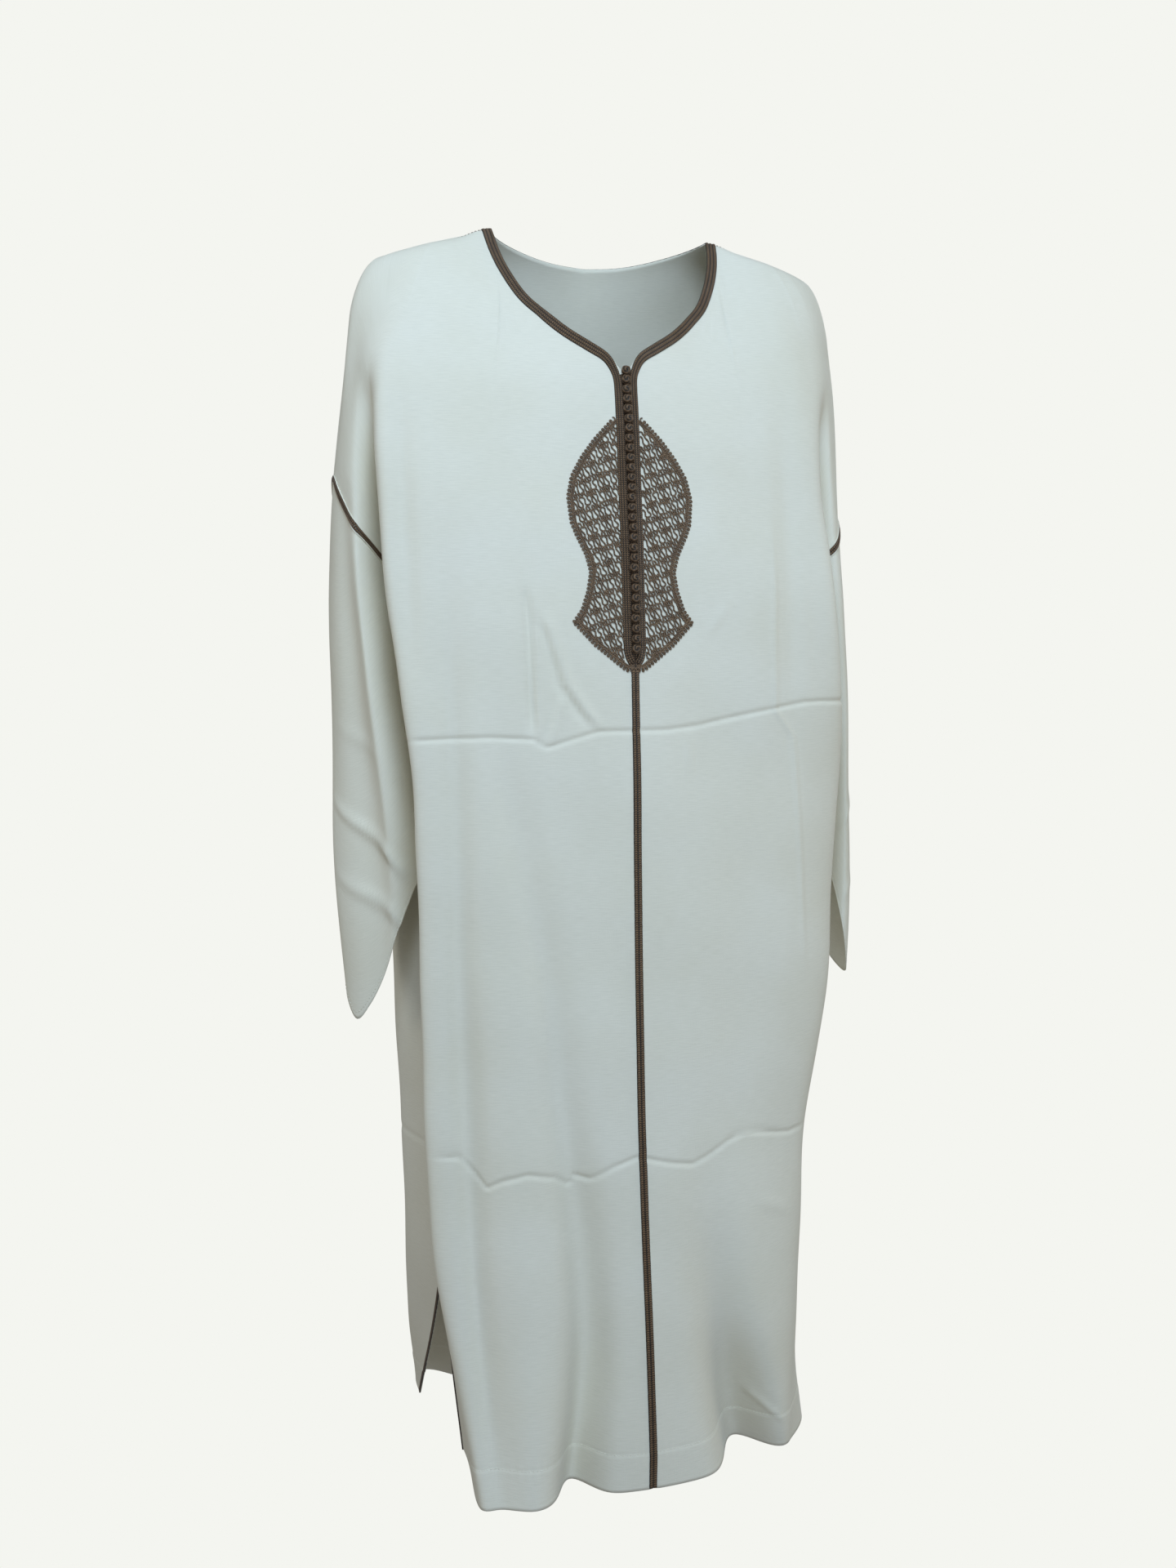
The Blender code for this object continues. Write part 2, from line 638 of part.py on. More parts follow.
def back_sheet(material):
    sheet = Sheet("back", material)
    outer = [4 - c for c in reversed(ARM_COLUMNS)] + [4 - c for c in reversed(BODY_COLUMNS)]
    right = add_panel_columns(sheet, RIGHT, outer + list(BACK_NECK_COLUMNS), False)
    left = add_panel_columns(sheet, LEFT, outer + list(BACK_NECK_COLUMNS[:-1]), False)
    join_columns(sheet, right + left[::-1], False)
    return sheet


def sleeve_sheet(side, material):
    sheet = Sheet(f"sleeve_{SIDE_NAME[side]}", material)
    columns = list(ARM_COLUMNS) + [4 - c for c in reversed(ARM_COLUMNS[1:-1])]
    made = []
    for column in columns:
        top, foot = -read(ARMHOLE[side], "drop", column), -read(CUFF[side], "drop", column)
        heights = [top] + steps(top, foot, SLEEVE_ROWS)
        points = [cloth(side, column, h, h <= UNDERARM) for h in heights]
        if column == 1.0:
            points[0] = cloth(side, column, UNDERARM, True)
        shifts = [np.array([0, 0, -SEAM_GAP / 2])] + [np.zeros(3)] * SLEEVE_ROWS
        made.append(sheet.add_column(side, column, points, shifts))
    join_columns(sheet, made + made[:1], side == LEFT)
    return sheet


def closed_wall(outer, inner, faces):
    """Points and faces of a wall: its outer face, its inner face and the strips along its edges."""
    count = len(outer)
    edges = {}
    for face in faces:
        for a, b in zip(face, face[1:] + face[:1]):
            edges[(a, b)] = edges.get((a, b), 0) + 1
    strips = [[b, a, a + count, b + count] for a, b in edges if (b, a) not in edges]
    back = [[i + count for i in face[::-1]] for face in faces]
    return np.vstack([outer, inner]), [list(f) for f in faces] + back + strips


def add_object(name, points, faces, material, smooth=True):
    mesh = bpy.data.meshes.new(name)
    mesh.from_pydata([tuple(p) for p in points], [], faces)
    mesh.validate()
    mesh.materials.append(material)
    work = bmesh.new()
    work.from_mesh(mesh)
    bmesh.ops.triangulate(work, faces=work.faces)
    work.to_mesh(mesh)
    work.free()
    if smooth:
        mesh.shade_smooth()
        mesh.set_sharp_from_angle(angle=math.radians(50))
    made = bpy.data.objects.new(name, mesh)
    parts_collection().objects.link(made)
    return made


def parts_collection():
    found = bpy.data.collections.get("djellaba_robe")
    if found is None:
        found = bpy.data.collections.new("djellaba_robe")
        bpy.context.scene.collection.children.link(found)
    return found


def new_material(name, colour, roughness):
    material = bpy.data.materials.new(name)
    material.use_nodes = True
    shader = material.node_tree.nodes["Principled BSDF"]
    shader.inputs["Base Color"].default_value = (*colour, 1)
    shader.inputs["Roughness"].default_value = roughness
    shader.inputs["Metallic"].default_value = 0.0
    return material


def build_sheet(sheet):
    outer = sheet.outer()
    points, faces = closed_wall(outer, outer - WALL * sheet.normals, sheet.faces)
    return add_object(sheet.name, points, faces, sheet.material)


class Ground:
    """The outer faces of some cloth pieces, as triangles, to lay trimmings on."""

    def __init__(self, *sheets):
        points, triangles, normals = [], [], []
        for sheet in sheets:
            first = len(points)
            points += [Vector(p) for p in sheet.outer()]
            normals += [Vector(n) for n in sheet.normals]
            for face in sheet.faces:
                a, b, c, d = (i + first for i in face)
                # both ways of cutting the quad, so that a trimming clears either one
                triangles += [(a, b, c), (a, c, d), (a, b, d), (b, c, d)]
        self.points, self.triangles, self.normals = points, triangles, normals
        self.tree = BVHTree.FromPolygons(points, triangles)

    def nearest(self, point):
        """The nearest point of the cloth, and the cloth's normal there, blended from the face's corners."""
        place, _, face, _ = self.tree.find_nearest(Vector(point))
        normal = Vector()
        for i in self.triangles[face]:
            normal += self.normals[i] / ((self.points[i] - place).length + SEAM_GAP)
        return np.array(place), np.array(normal.normalized())

    def lifted(self, point, normal, lift):
        """The point over the cloth along the normal, lift above the highest face there."""
        start = Vector(point) + Vector(normal) * LIFT_REACH
        hit, _, _, _ = self.tree.ray_cast(start, -Vector(normal), 2 * LIFT_REACH)
        place = np.array(hit) if hit is not None else self.nearest(point)[0]
        return place + np.array(normal) * lift


def resample(points, spacing):
    """Points along a polyline at about equal spacing, its two ends kept."""
    points = np.array(points, float)
    along = np.concatenate([[0], np.cumsum(np.linalg.norm(np.diff(points, axis=0), axis=1))])
    count = max(2, round(along[-1] / spacing) + 1)
    at = np.linspace(0, along[-1], count)
    return np.stack([np.interp(at, along, points[:, k]) for k in range(3)], axis=1)


def braid(name, ground, route, widths, away, material, ribs=2, height=BRAID_HEIGHT):
    """A flat ribbed braid laid on the cloth. The route is its edge, and it widens to the away side.

    widths and away hold one value for each point of the route: its width there, and the direction across.
    """
    feet, normals = [], []
    for i, point in enumerate(route):
        ahead = route[min(i + 1, len(route) - 1)] - route[max(i - 1, 0)]
        facing = ground.nearest(point)[1]
        across = np.cross(ahead, facing)
        across = across / np.linalg.norm(across)
        across = across if across @ away[i] > 0 else -across
        normal = np.cross(ahead, across)
        normal = normal / np.linalg.norm(normal) * np.sign(normal @ facing)
        places = [point + across * widths[i] * share for share in ACROSS]
        feet.append([ground.lifted(place, normal, TRIM_LIFT) for place in places])
        normals.append(normal)
    settle(ground, feet, normals)
    return ribbon(name, feet, normals, ribs, height, material)


def settle(ground, feet, normals):
    """Lifts the rows of feet until the flat runs between them clear the cloth too."""
    shares = (0, 0.25, 0.5, 0.75, 1)
    for i, k in [(i, k) for i in range(len(feet) - 1) for k in (0, 1)] * 2:
        normal = normals[i] + normals[i + 1]
        normal = normal / np.linalg.norm(normal)
        lift = 0.0
        for along, over in [(along, over) for along in shares for over in shares]:
            near = between(feet[i][k], feet[i][k + 1], over)
            place = between(near, between(feet[i + 1][k], feet[i + 1][k + 1], over), along)
            short = TRIM_LIFT - (place - ground.lifted(place, normal, 0)) @ normal
            lift = max(lift, short if short < LIFT_REACH else 0.0)
        for row, facing in ((feet[i], normals[i]), (feet[i + 1], normals[i + 1])):
            row[k], row[k + 1] = row[k] + facing * lift, row[k + 1] + facing * lift


def with_midpoints(rows):
    """The rows with one more halfway between each two."""
    rows = [np.array(row) for row in rows]
    return [row for a, b in zip(rows, rows[1:]) for row in (a, (a + b) / 2)] + [rows[-1]]


def ribbon(name, feet, normals, ribs, height, material):
    """A band over rows of three points on the cloth: flat below, and raised in ribs above."""
    count = 2 * ribs + 1
    rows = []
    for row, normal in zip(feet, normals):
        over = []
        for k in range(count):
            share = 2 * k / (count - 1)
            foot = between(row[0], row[1], share) if share <= 1 else between(row[1], row[2], share - 1)
            rise = height if k % 2 else height * (RIB_GROOVE if 0 < k < count - 1 else RIB_EDGE)
            over.append(foot + normal * rise)
        rows.append([row[2], row[1], row[0]] + over)
    return loft(name, rows, material)


def loft(name, rows, material):
    """A closed body through rings of equal point counts, capped at both ends."""
    size = len(rows[0])
    points = np.vstack(rows)
    faces = [
        [i * size + k, (i + 1) * size + k, (i + 1) * size + (k + 1) % size, i * size + (k + 1) % size]
        for i in range(len(rows) - 1)
        for k in range(size)
    ]
    last = (len(rows) - 1) * size
    faces += [list(range(size)), [last + k for k in reversed(range(size))]]
    made = add_object(name, points, faces, material)
    work = bmesh.new()
    work.from_mesh(made.data)
    if work.calc_volume(signed=True) < 0:
        bmesh.ops.reverse_faces(work, faces=work.faces)
    work.to_mesh(made.data)
    work.free()
    return made


def front_place(side, x, z):
    """The front's surface at a distance x out from the centre line, by stepping the column to it."""
    low, high = 0.0, 0.6
    shift = layer_point(side, 0.0, z)[0]
    for _ in range(30):
        middle = (low + high) / 2
        reached = abs(layer_point(side, middle, z)[0] - shift)
        low, high = (middle, high) if reached < x else (low, middle)
    return layer_point(side, low, z)


def neck_braid(side, ground, material):
    """The braid from the shoulder point along the neck's edge and down the placket."""
    columns = NECK_COLUMN - (NECK_COLUMN - PLACKET_COLUMN) * np.linspace(0, 1, 90) ** 2
    edge = [cloth(side, c, neck_height(side, c)) for c in columns]
    edge[0] = edge[0] + np.array([0, -SEAM_GAP, 0])
    neck = resample([p for p in edge if p[2] > NECK_BRAID_FOOT], NECK_BRAID_SPACING)
    heights = np.linspace(PLACKET_HEAD, PLACKET_FOOT, PLACKET_ROWS)
    route = np.vstack([neck, [front_place(side, PLACKET_INNER, z) for z in heights]])
    widths = [
        between(NECK_BRAID_WIDTH, PLACKET_BRAID_WIDTH, np.clip((-0.135 - p[2]) / 0.04, 0, 1)) for p in route
    ]
    away = [np.array([side, 0, -1.0]) if p[2] > -0.170 else np.array([side, 0, 0.0]) for p in route]
    return braid(f"neck_braid_{SIDE_NAME[side]}", ground, route, widths, away, material, ribs=3)


def back_neck_braid(ground, material):
    columns = 4 - NECK_COLUMN * (1 - np.linspace(0, 1, 40) ** 2)
    right = [cloth(RIGHT, c, neck_height(RIGHT, c)) for c in columns]
    left = [cloth(LEFT, c, neck_height(LEFT, c)) for c in columns[:-1]]
    right[0][1] += SEAM_GAP
    left[0][1] += SEAM_GAP
    route = resample(right + left[::-1], BACK_BRAID_SPACING)
    away = [np.array([np.sign(p[0]) * 0.4, 1.0, -0.6]) for p in route]
    return braid("neck_braid_back", ground, route, [NECK_BRAID_WIDTH] * len(route), away, material, ribs=3)


def front_braid(ground, material):
    """The braid down the centre front seam, from the medallion's point to the hem."""
    heights = np.linspace(MEDALLION_FOOT - 2 * SEAM_GAP, FRONT_HEM + FRONT_BRAID_HEM_GAP, FRONT_BRAID_ROWS)
    half = FRONT_BRAID_WIDTH / 2
    route = np.array([front_place(RIGHT, half, z) for z in heights])
    away = [np.array([1.0, 0, 0])] * len(route)
    return braid("front_braid", ground, route, [FRONT_BRAID_WIDTH] * len(route), away, material)


def armhole_braid(side, panels, sleeve, material):
    """The braid over the armhole seam, from the seam's own points: half on the shoulder, half below."""
    feet, normals = [], []
    half = ARMHOLE_BRAID_WIDTH / 2
    for column in ARM_COLUMNS[1:] + tuple(4 - c for c in reversed(ARM_COLUMNS[1:-1])):
        above = panels[0 if column <= 2 else 1].columns[side, column]
        below = sleeve.columns[side, column]
        base = above[-1][0]
        normal = above[-1][1]
        up = (above[-2][0] - base) / np.linalg.norm(above[-2][0] - base)
        down = (below[1][0] - base) / np.linalg.norm(below[1][0] - base)
        feet.append([place + normal * TRIM_LIFT for place in (base + up * half, base, base + down * half)])
        normals.append(normal)
    return ribbon(f"armhole_braid_{SIDE_NAME[side]}", feet, normals, 2, BRAID_HEIGHT, material)


def slit_trim(side, panel, columns, width, material):
    """The narrow braid on one edge of a side slit, from the panel's own points there."""
    edge, inner = (panel.columns[side, column][-SLIT_ROWS - 1 :] for column in columns)
    feet, normals = [], []
    for (place, normal), (beside, _) in zip(edge, inner):
        across = (beside - place) / np.linalg.norm(beside - place)
        feet.append([place + across * width * share + normal * TRIM_LIFT for share in ACROSS])
        normals.append(normal)
    feet, normals = with_midpoints(feet), with_midpoints(normals)
    settle(Ground(panel), feet, normals)
    name = f"slit_trim_{'front' if columns[0] < 2 else 'back'}_{SIDE_NAME[side]}"
    return ribbon(name, feet, normals, 1, SLIT_TRIM_HEIGHT, material)


def medallion(side, ground, material):
    """One half of the chest medallion: a flat fill inside a raised border that follows its outline."""
    beside = PLACKET_INNER + PLACKET_BRAID_WIDTH + 2 * SEAM_GAP
    rows = []
    heights = [(z, beside) for z in np.linspace(MEDALLION_TOP, PLACKET_FOOT - 2 * SEAM_GAP, MEDALLION_ROWS)]
    foot = np.linspace(PLACKET_FOOT - 4 * SEAM_GAP, MEDALLION_FOOT, MEDALLION_POINT_ROWS)
    heights += [(z, SEAM_GAP) for z in foot]
    for z, inner in heights:
        outer = max(read(MEDALLION, "half", -z), inner + 0.004)
        border = max(outer - MEDALLION_BORDER, inner + 0.001)
        spots = (inner, (inner + border) / 2, border, (border + outer) / 2, outer)
        normal = np.array([0, -1.0, 0])
        feet = [ground.lifted(front_place(side, x, z), normal, TRIM_LIFT) for x in spots]
        over = [foot + normal * rise for foot, rise in zip(feet, MEDALLION_RISE)]
        rows.append([feet[-1], feet[2], feet[0]] + over)
    return loft(f"medallion_{SIDE_NAME[side]}", rows, material)


def buttons(ground, material):
    """The knotted ball buttons down the middle of the placket."""
    radius = BUTTON_DIAMETER / 2
    for i in range(BUTTON_COUNT):
        z = BUTTON_TOP - BUTTON_PITCH * i
        work = bmesh.new()
        bmesh.ops.create_uvsphere(work, u_segments=8, v_segments=4, radius=radius)
        mesh = bpy.data.meshes.new(f"button_{i + 1:02d}")
        work.to_mesh(mesh)
        work.free()
        mesh.materials.append(material)
        mesh.shade_smooth()
        made = bpy.data.objects.new(mesh.name, mesh)
        place = (front_place(RIGHT, 0.001, z) + front_place(LEFT, 0.001, z)) / 2
        normal = ground.nearest(place)[1]
        made.location = ground.lifted(place, normal, radius + SEAM_GAP)
        made.rotation_euler = (math.pi / 2, 0, 0)
        parts_collection().objects.link(made)


def main():
    for made in list(bpy.data.objects):
        bpy.data.objects.remove(made)
    cream = new_material("cream_cloth", CREAM, 0.85)
    brown = new_material("brown_braid", BROWN, 0.6)
    dark = new_material("dark_brown_cord", DARK_BROWN, 0.55)

    fronts = {side: front_sheet(side, cream) for side in (RIGHT, LEFT)}
    sleeves = {side: sleeve_sheet(side, cream) for side in (RIGHT, LEFT)}
    back = back_sheet(cream)
    sheets = [*fronts.values(), back, *sleeves.values()]
    share_normals(sheets)
    for sheet in sheets:
        build_sheet(sheet)

    both_fronts = Ground(*fronts.values())
    for side in (RIGHT, LEFT):
        neck_braid(side, Ground(fronts[side]), brown)
        armhole_braid(side, (fronts[side], back), sleeves[side], brown)
        slit_trim(side, fronts[side], (1.0, BODY_COLUMNS[-1]), SLIT_FRONT_TRIM_WIDTH, brown)
        slit_trim(side, back, (3.0, 4 - BODY_COLUMNS[-1]), SLIT_BACK_TRIM_WIDTH, brown)
        medallion(side, Ground(fronts[side]), dark)
    back_neck_braid(Ground(back), brown)
    front_braid(both_fronts, brown)
    buttons(both_fronts, brown)


main()
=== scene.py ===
"""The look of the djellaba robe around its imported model: cloth, braids, knotted buttons and medallion.

Metres, +Z up. The origin is midway between the two shoulder points of the neck. The front faces -Y and
the wearer's right is -X. Heights in the tables are drops below the origin.
"""

import json
import math
from functools import lru_cache

import bpy
import numpy as np
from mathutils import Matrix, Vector
from mathutils.bvhtree import BVHTree

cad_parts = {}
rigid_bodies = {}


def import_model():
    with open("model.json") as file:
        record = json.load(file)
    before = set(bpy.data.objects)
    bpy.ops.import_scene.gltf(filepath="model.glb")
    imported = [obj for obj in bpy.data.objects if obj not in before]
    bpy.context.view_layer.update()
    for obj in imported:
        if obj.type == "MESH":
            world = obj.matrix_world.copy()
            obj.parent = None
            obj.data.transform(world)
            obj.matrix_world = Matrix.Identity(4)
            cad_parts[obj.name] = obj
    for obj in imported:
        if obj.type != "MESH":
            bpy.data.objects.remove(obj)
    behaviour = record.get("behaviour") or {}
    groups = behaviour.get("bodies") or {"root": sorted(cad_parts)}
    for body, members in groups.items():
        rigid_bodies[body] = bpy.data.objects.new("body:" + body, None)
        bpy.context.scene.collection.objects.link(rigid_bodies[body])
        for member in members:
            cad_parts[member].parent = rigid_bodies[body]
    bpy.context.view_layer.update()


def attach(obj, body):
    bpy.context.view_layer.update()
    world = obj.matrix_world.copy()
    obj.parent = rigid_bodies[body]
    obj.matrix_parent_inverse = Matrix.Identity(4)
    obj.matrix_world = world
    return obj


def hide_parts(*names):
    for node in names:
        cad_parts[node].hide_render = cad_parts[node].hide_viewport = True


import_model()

RIGHT, LEFT = -1, 1
SIDE_NAME = {RIGHT: "right", LEFT: "left"}

# Heights of the cut, as z
VAULT_FOOT = -0.11
VAULT_RISE = 0.14
RIDGE_HEIGHT = VAULT_FOOT + VAULT_RISE
NECK_TIGHTNESS = 0.85
UNDERARM = -0.42
UNDERARM_EASE = 0.0018
UNDERARM_TACK = 0.012
SLIT_TOP = -1.135
FRONT_HEM = -1.37
BACK_HEM = -1.345

# Rows and columns of the fine cloth. A column is 0 at the centre front, 1 at the side, 4 at the centre back
NECK_COLUMN = 0.36
NECK_SEARCH_FOOT = -0.20
UPPER_GUIDES = 25
LOWER_GUIDES = 46
GUIDE_DROPS = (0, 0.006, 0.012, 0.03)
UPPER_ROWS = 92
SLEEVE_GUIDES = 14
SLEEVE_ROWS = 150
ROW_STEP = 0.0062
FINE_ROW_STEP = 0.0018
FINE_BANDS = ((0.440, 0.590), (1.000, 1.048), (1.300, 1.366))

# Cloth
CLOTH_THICKNESS = 0.0009
HEM_DEPTH = 0.040
HEM_RISE = 0.0005
HEM_GROOVE = 0.0005
CUFF_STITCH = 0.006
# Long shallow waves: turns per metre across and down, and height
SOFT_WAVES = ((38, 9, 0.0007), (21, 14, 0.0010), (67, -12, 0.0003), (13, 47, 0.0004))

# Braids, cords, buttons and medallion
BRAID_STEP = 0.00078
TRIM_SINK = 0.0004
NECK_BRAID_WIDTH = 0.012
PLACKET_BRAID_WIDTH = 0.0085
NARROWING_TOP = -0.135
NARROWING_LENGTH = 0.04
PLACKET_INNER = 0.0049
PLACKET_HEAD = -0.176
PLACKET_FOOT = -0.482
PLACKET_COLUMN = 0.0145
NECK_BRAID_FOOT = -0.158
FRONT_BRAID_HEM_GAP = 0.001
FRONT_BRAID_WIDTH = 0.0086
ARMHOLE_BRAID_WIDTH = 0.0065
SLIT_FRONT_TRIM_WIDTH = 0.0018
SLIT_BACK_TRIM_WIDTH = 0.0045
BRAID_HEIGHT = 0.0019
NECK_SMOOTHING = 170
BACKING_TOP = -0.166
BACKING_HEIGHT = 0.0007
BACKING_TUCK = 0.0006
PIPING_RADIUS = 0.0007
SLIT_TRIM_HEIGHT = 0.0014
RIB_SAMPLES = 5
GROOVE_SHARE = 0.4
STRAND_PITCH = 0.0024
STRAND_LEAN = 0.55
NECK_POINT = -0.175
BUTTON_COUNT = 29
BUTTON_DIAMETER = 0.0106
BUTTON_TOP = -0.169
BUTTON_PITCH = 0.0109
MEDALLION_TOP = -0.220
MEDALLION_FOOT = -0.4995
LOOP_PITCH = 0.0044
LOOP_RADIUS = 0.0021
LOOP_REACH = 0.0029
LOOP_LIFT = 0.0010
LOOP_SAMPLES = 13
BORDER_CORD_RADIUS = 0.0008
# The two cords inside the looped edge: their distance in from the outline, and radius
INNER_CORDS = ((0.0056, 0.0009), (0.0073, 0.0009))
FILL_INSET = 0.0078
FILL_END = 0.006
FILL_TUCK = 0.0006
FILL_REACH = 0.18
FILL_CORD_RADIUS = 0.00095
FILL_SAMPLES = 30
CORD_STEP = 0.0009
FILL_ROW = 0.0160
FILL_SLANT = math.radians(17)
FILL_LEAN = math.radians(26)
# Rows of curls: the length of one, its swing in radians, how far down its row it lies, and how it strays
TALL_CURLS = (0.0078, 1.92, 0.0, 0.0006)
LOW_CURLS = (0.0054, 1.66, 0.0082, 0.0005)
STITCH_LENGTH = 0.0030
STITCH_GAP = 0.0012
HEM_THREAD = 0.00028
SHOULDER_THREAD = 0.00045

# Camera, calibrated on the photograph's view
CAMERA_PLACE = (-0.5677, -1.9803, -0.496)
CAMERA_TURN = (90, 0, -16)
CAMERA_LENS = 41.25
CAMERA_SHIFT = (-15 / 1920, -140 / 1920)
FLOOR_HEIGHT = -1.47
PALE = (0.905, 0.913, 0.871)

# Light: the colour and strength that fills the shadows, then lamps as name, place, aim, size, power, colour
FILL_COLOUR = (0.98, 1.0, 1.0)
FILL_STRENGTH = 0.25
LAMPS = (
    ("key", (-0.42, -1.55, 1.15), (-0.04, 0.0, -0.33), 0.9, 34, (0.63, 0.80, 0.98)),
    ("front", (0.30, -2.55, -0.70), (0.04, 0.0, -0.95), 1.6, 17.6, (0.61, 0.79, 1.0)),
    ("side_right", (-2.40, 0.05, -0.25), (-0.25, 0.0, -0.55), 1.2, 7.5, (0.88, 0.90, 0.84)),
    ("side_left", (2.40, -0.35, -0.25), (0.25, 0.0, -0.55), 1.2, 8, (0.98, 0.92, 0.72)),
    ("back", (1.30, 2.30, 0.20), (0.0, 0.1, -0.60), 1.4, 27, (0.70, 0.84, 1.0)),
)

# Colours, as linear base colour, and how many waves of the weave and the cord's twist go to a metre
CREAM_PALE = (0.80, 0.77, 0.665)
CREAM_DEEP = (0.77, 0.735, 0.615)
# the braid silk's brown as two colours: darkened to painted shade in the grooves, and lightened to a painted
# highlight on the rib tops
SILK_SHADED = (0.012, 0.008, 0.005)
SILK_LIT = (0.225, 0.136, 0.072)
# the buttons' and placket strip's darker brown silk, as painted shade in grooves and pits and a painted
# highlight on the strand tops
BUTTON_SHADED = (0.009, 0.006, 0.004)
BUTTON_LIT = (0.175, 0.103, 0.054)
# the cord's brown, as painted shade on its underside and a painted highlight on its top
CORD_SHADED = (0.014, 0.009, 0.005)
CORD_LIT = (0.245, 0.150, 0.080)
WEAVE = 420.0
TWIST = 190.0


def table(columns, *rows):
    """A table as named columns; the first one is what the others are read against."""
    names = columns.split()
    columns = {name: np.array([row[i] for row in rows], float) for i, name in enumerate(names)}
    columns["at"] = columns[names[0]]
    columns["slopes"] = {name: np.gradient(columns[name], columns["at"]) for name in names}
    return columns


def read(source, column, at):
    """A column's value, from a smooth curve through the rows, held at both ends."""
    keys, values = source["at"], source[column]
    slopes = source["slopes"][column]
    i = int(np.clip(np.searchsorted(keys, at) - 1, 0, len(keys) - 2))
    span = keys[i + 1] - keys[i]
    t = min(max((at - keys[i]) / span, 0.0), 1.0)
    return float(
        values[i] * (1 + 2 * t) * (1 - t) ** 2
        + slopes[i] * span * t * (1 - t) ** 2
        + values[i + 1] * t * t * (3 - 2 * t)
        + slopes[i + 1] * span * t * t * (t - 1)
    )


# The centre front and centre back, how much the front rounds back halfway to its edge, and how far the
# hem swings to the wearer's left
CENTRE = table(
    "drop front_y back_y rounding swing",
    (0.05, -0.062, 0.085, 0.45, 0),
    (0.11, -0.080, 0.098, 0.45, 0),
    (0.17, -0.097, 0.108, 0.26, 0),
    (0.23, -0.108, 0.114, 0.22, 0),
    (0.30, -0.118, 0.118, 0.22, 0),
    (0.36, -0.126, 0.119, 0.22, 0),
    (0.42, -0.132, 0.120, 0.22, 0),
    (0.50, -0.137, 0.121, 0.22, 0),
    (0.60, -0.142, 0.122, 0.22, 0),
    (0.70, -0.146, 0.123, 0.22, 0),
    (0.85, -0.150, 0.125, 0.22, 0.001),
    (1.00, -0.153, 0.130, 0.22, 0.003),
    (1.15, -0.156, 0.145, 0.22, 0.008),
    (1.25, -0.156, 0.162, 0.22, 0.012),
    (1.37, -0.152, 0.188, 0.22, 0.016),
)
BACK_ROUNDING = 0.22

# The body's plan at each height: the front's outer edge, the side at its front and back layers,
# and the back's outer lobe. x is the distance from the centre plane.
BODY = {
    RIGHT: table(
        "drop edge_x edge_y side_x side_y rear_x rear_y lobe_x lobe_y",
        (0.11, 0.235, -0.052, 0.257, -0.040, 0.257, 0.044, 0.235, 0.058),
        (0.17, 0.258, -0.062, 0.272, -0.045, 0.272, 0.054, 0.250, 0.075),
        (0.23, 0.266, -0.072, 0.262, -0.035, 0.262, 0.050, 0.256, 0.083),
        (0.30, 0.266, -0.082, 0.250, -0.020, 0.250, 0.038, 0.258, 0.088),
        (0.36, 0.266, -0.088, 0.236, -0.008, 0.236, 0.022, 0.256, 0.086),
        (0.42, 0.262, -0.092, 0.222, 0.005, 0.222, 0.005, 0.250, 0.080),
        (0.50, 0.252, -0.100, 0.205, -0.010, 0.205, -0.010, 0.245, 0.075),
        (0.60, 0.238, -0.108, 0.195, -0.025, 0.195, -0.025, 0.234, 0.070),
        (0.70, 0.232, -0.110, 0.195, -0.033, 0.195, -0.033, 0.232, 0.060),
        (0.85, 0.228, -0.112, 0.197, -0.045, 0.197, -0.045, 0.228, 0.050),
        (1.00, 0.222, -0.115, 0.198, -0.055, 0.198, -0.055, 0.222, 0.050),
        (1.135, 0.210, -0.118, 0.196, -0.060, 0.196, -0.060, 0.218, 0.052),
        (1.25, 0.190, -0.128, 0.180, -0.032, 0.194, 0.017, 0.205, 0.100),
        (1.37, 0.172, -0.148, 0.160, 0.000, 0.188, 0.130, 0.172, 0.196),
    ),
    LEFT: table(
        "drop edge_x edge_y side_x side_y rear_x rear_y lobe_x lobe_y",
        (0.11, 0.228, -0.052, 0.250, -0.040, 0.250, 0.044, 0.230, 0.058),
        (0.17, 0.240, -0.062, 0.260, -0.042, 0.260, 0.054, 0.246, 0.075),
        (0.23, 0.240, -0.072, 0.252, -0.035, 0.252, 0.050, 0.252, 0.083),
        (0.30, 0.241, -0.078, 0.243, -0.020, 0.243, 0.038, 0.254, 0.088),
        (0.36, 0.248, -0.084, 0.232, -0.008, 0.232, 0.022, 0.252, 0.086),
        (0.42, 0.252, -0.087, 0.222, 0.005, 0.222, 0.005, 0.248, 0.080),
        (0.50, 0.262, -0.080, 0.232, 0.000, 0.232, 0.000, 0.250, 0.076),
        (0.60, 0.270, -0.062, 0.244, 0.000, 0.244, 0.000, 0.250, 0.072),
        (0.70, 0.264, -0.060, 0.244, -0.004, 0.244, -0.004, 0.250, 0.070),
        (0.85, 0.252, -0.065, 0.232, -0.010, 0.232, -0.010, 0.246, 0.068),
        (1.00, 0.224, -0.070, 0.214, -0.016, 0.214, -0.016, 0.240, 0.066),
        (1.135, 0.218, -0.070, 0.210, -0.020, 0.210, -0.020, 0.236, 0.070),
        (1.25, 0.212, -0.068, 0.226, -0.006, 0.232, 0.032, 0.226, 0.106),
        (1.37, 0.202, -0.080, 0.245, 0.010, 0.244, 0.078, 0.205, 0.180),
    ),
}
# How far out the panel turns its corner, as a share of the edge's distance
CORNER_SHARE = {RIGHT: 0.78, LEFT: 0.84}

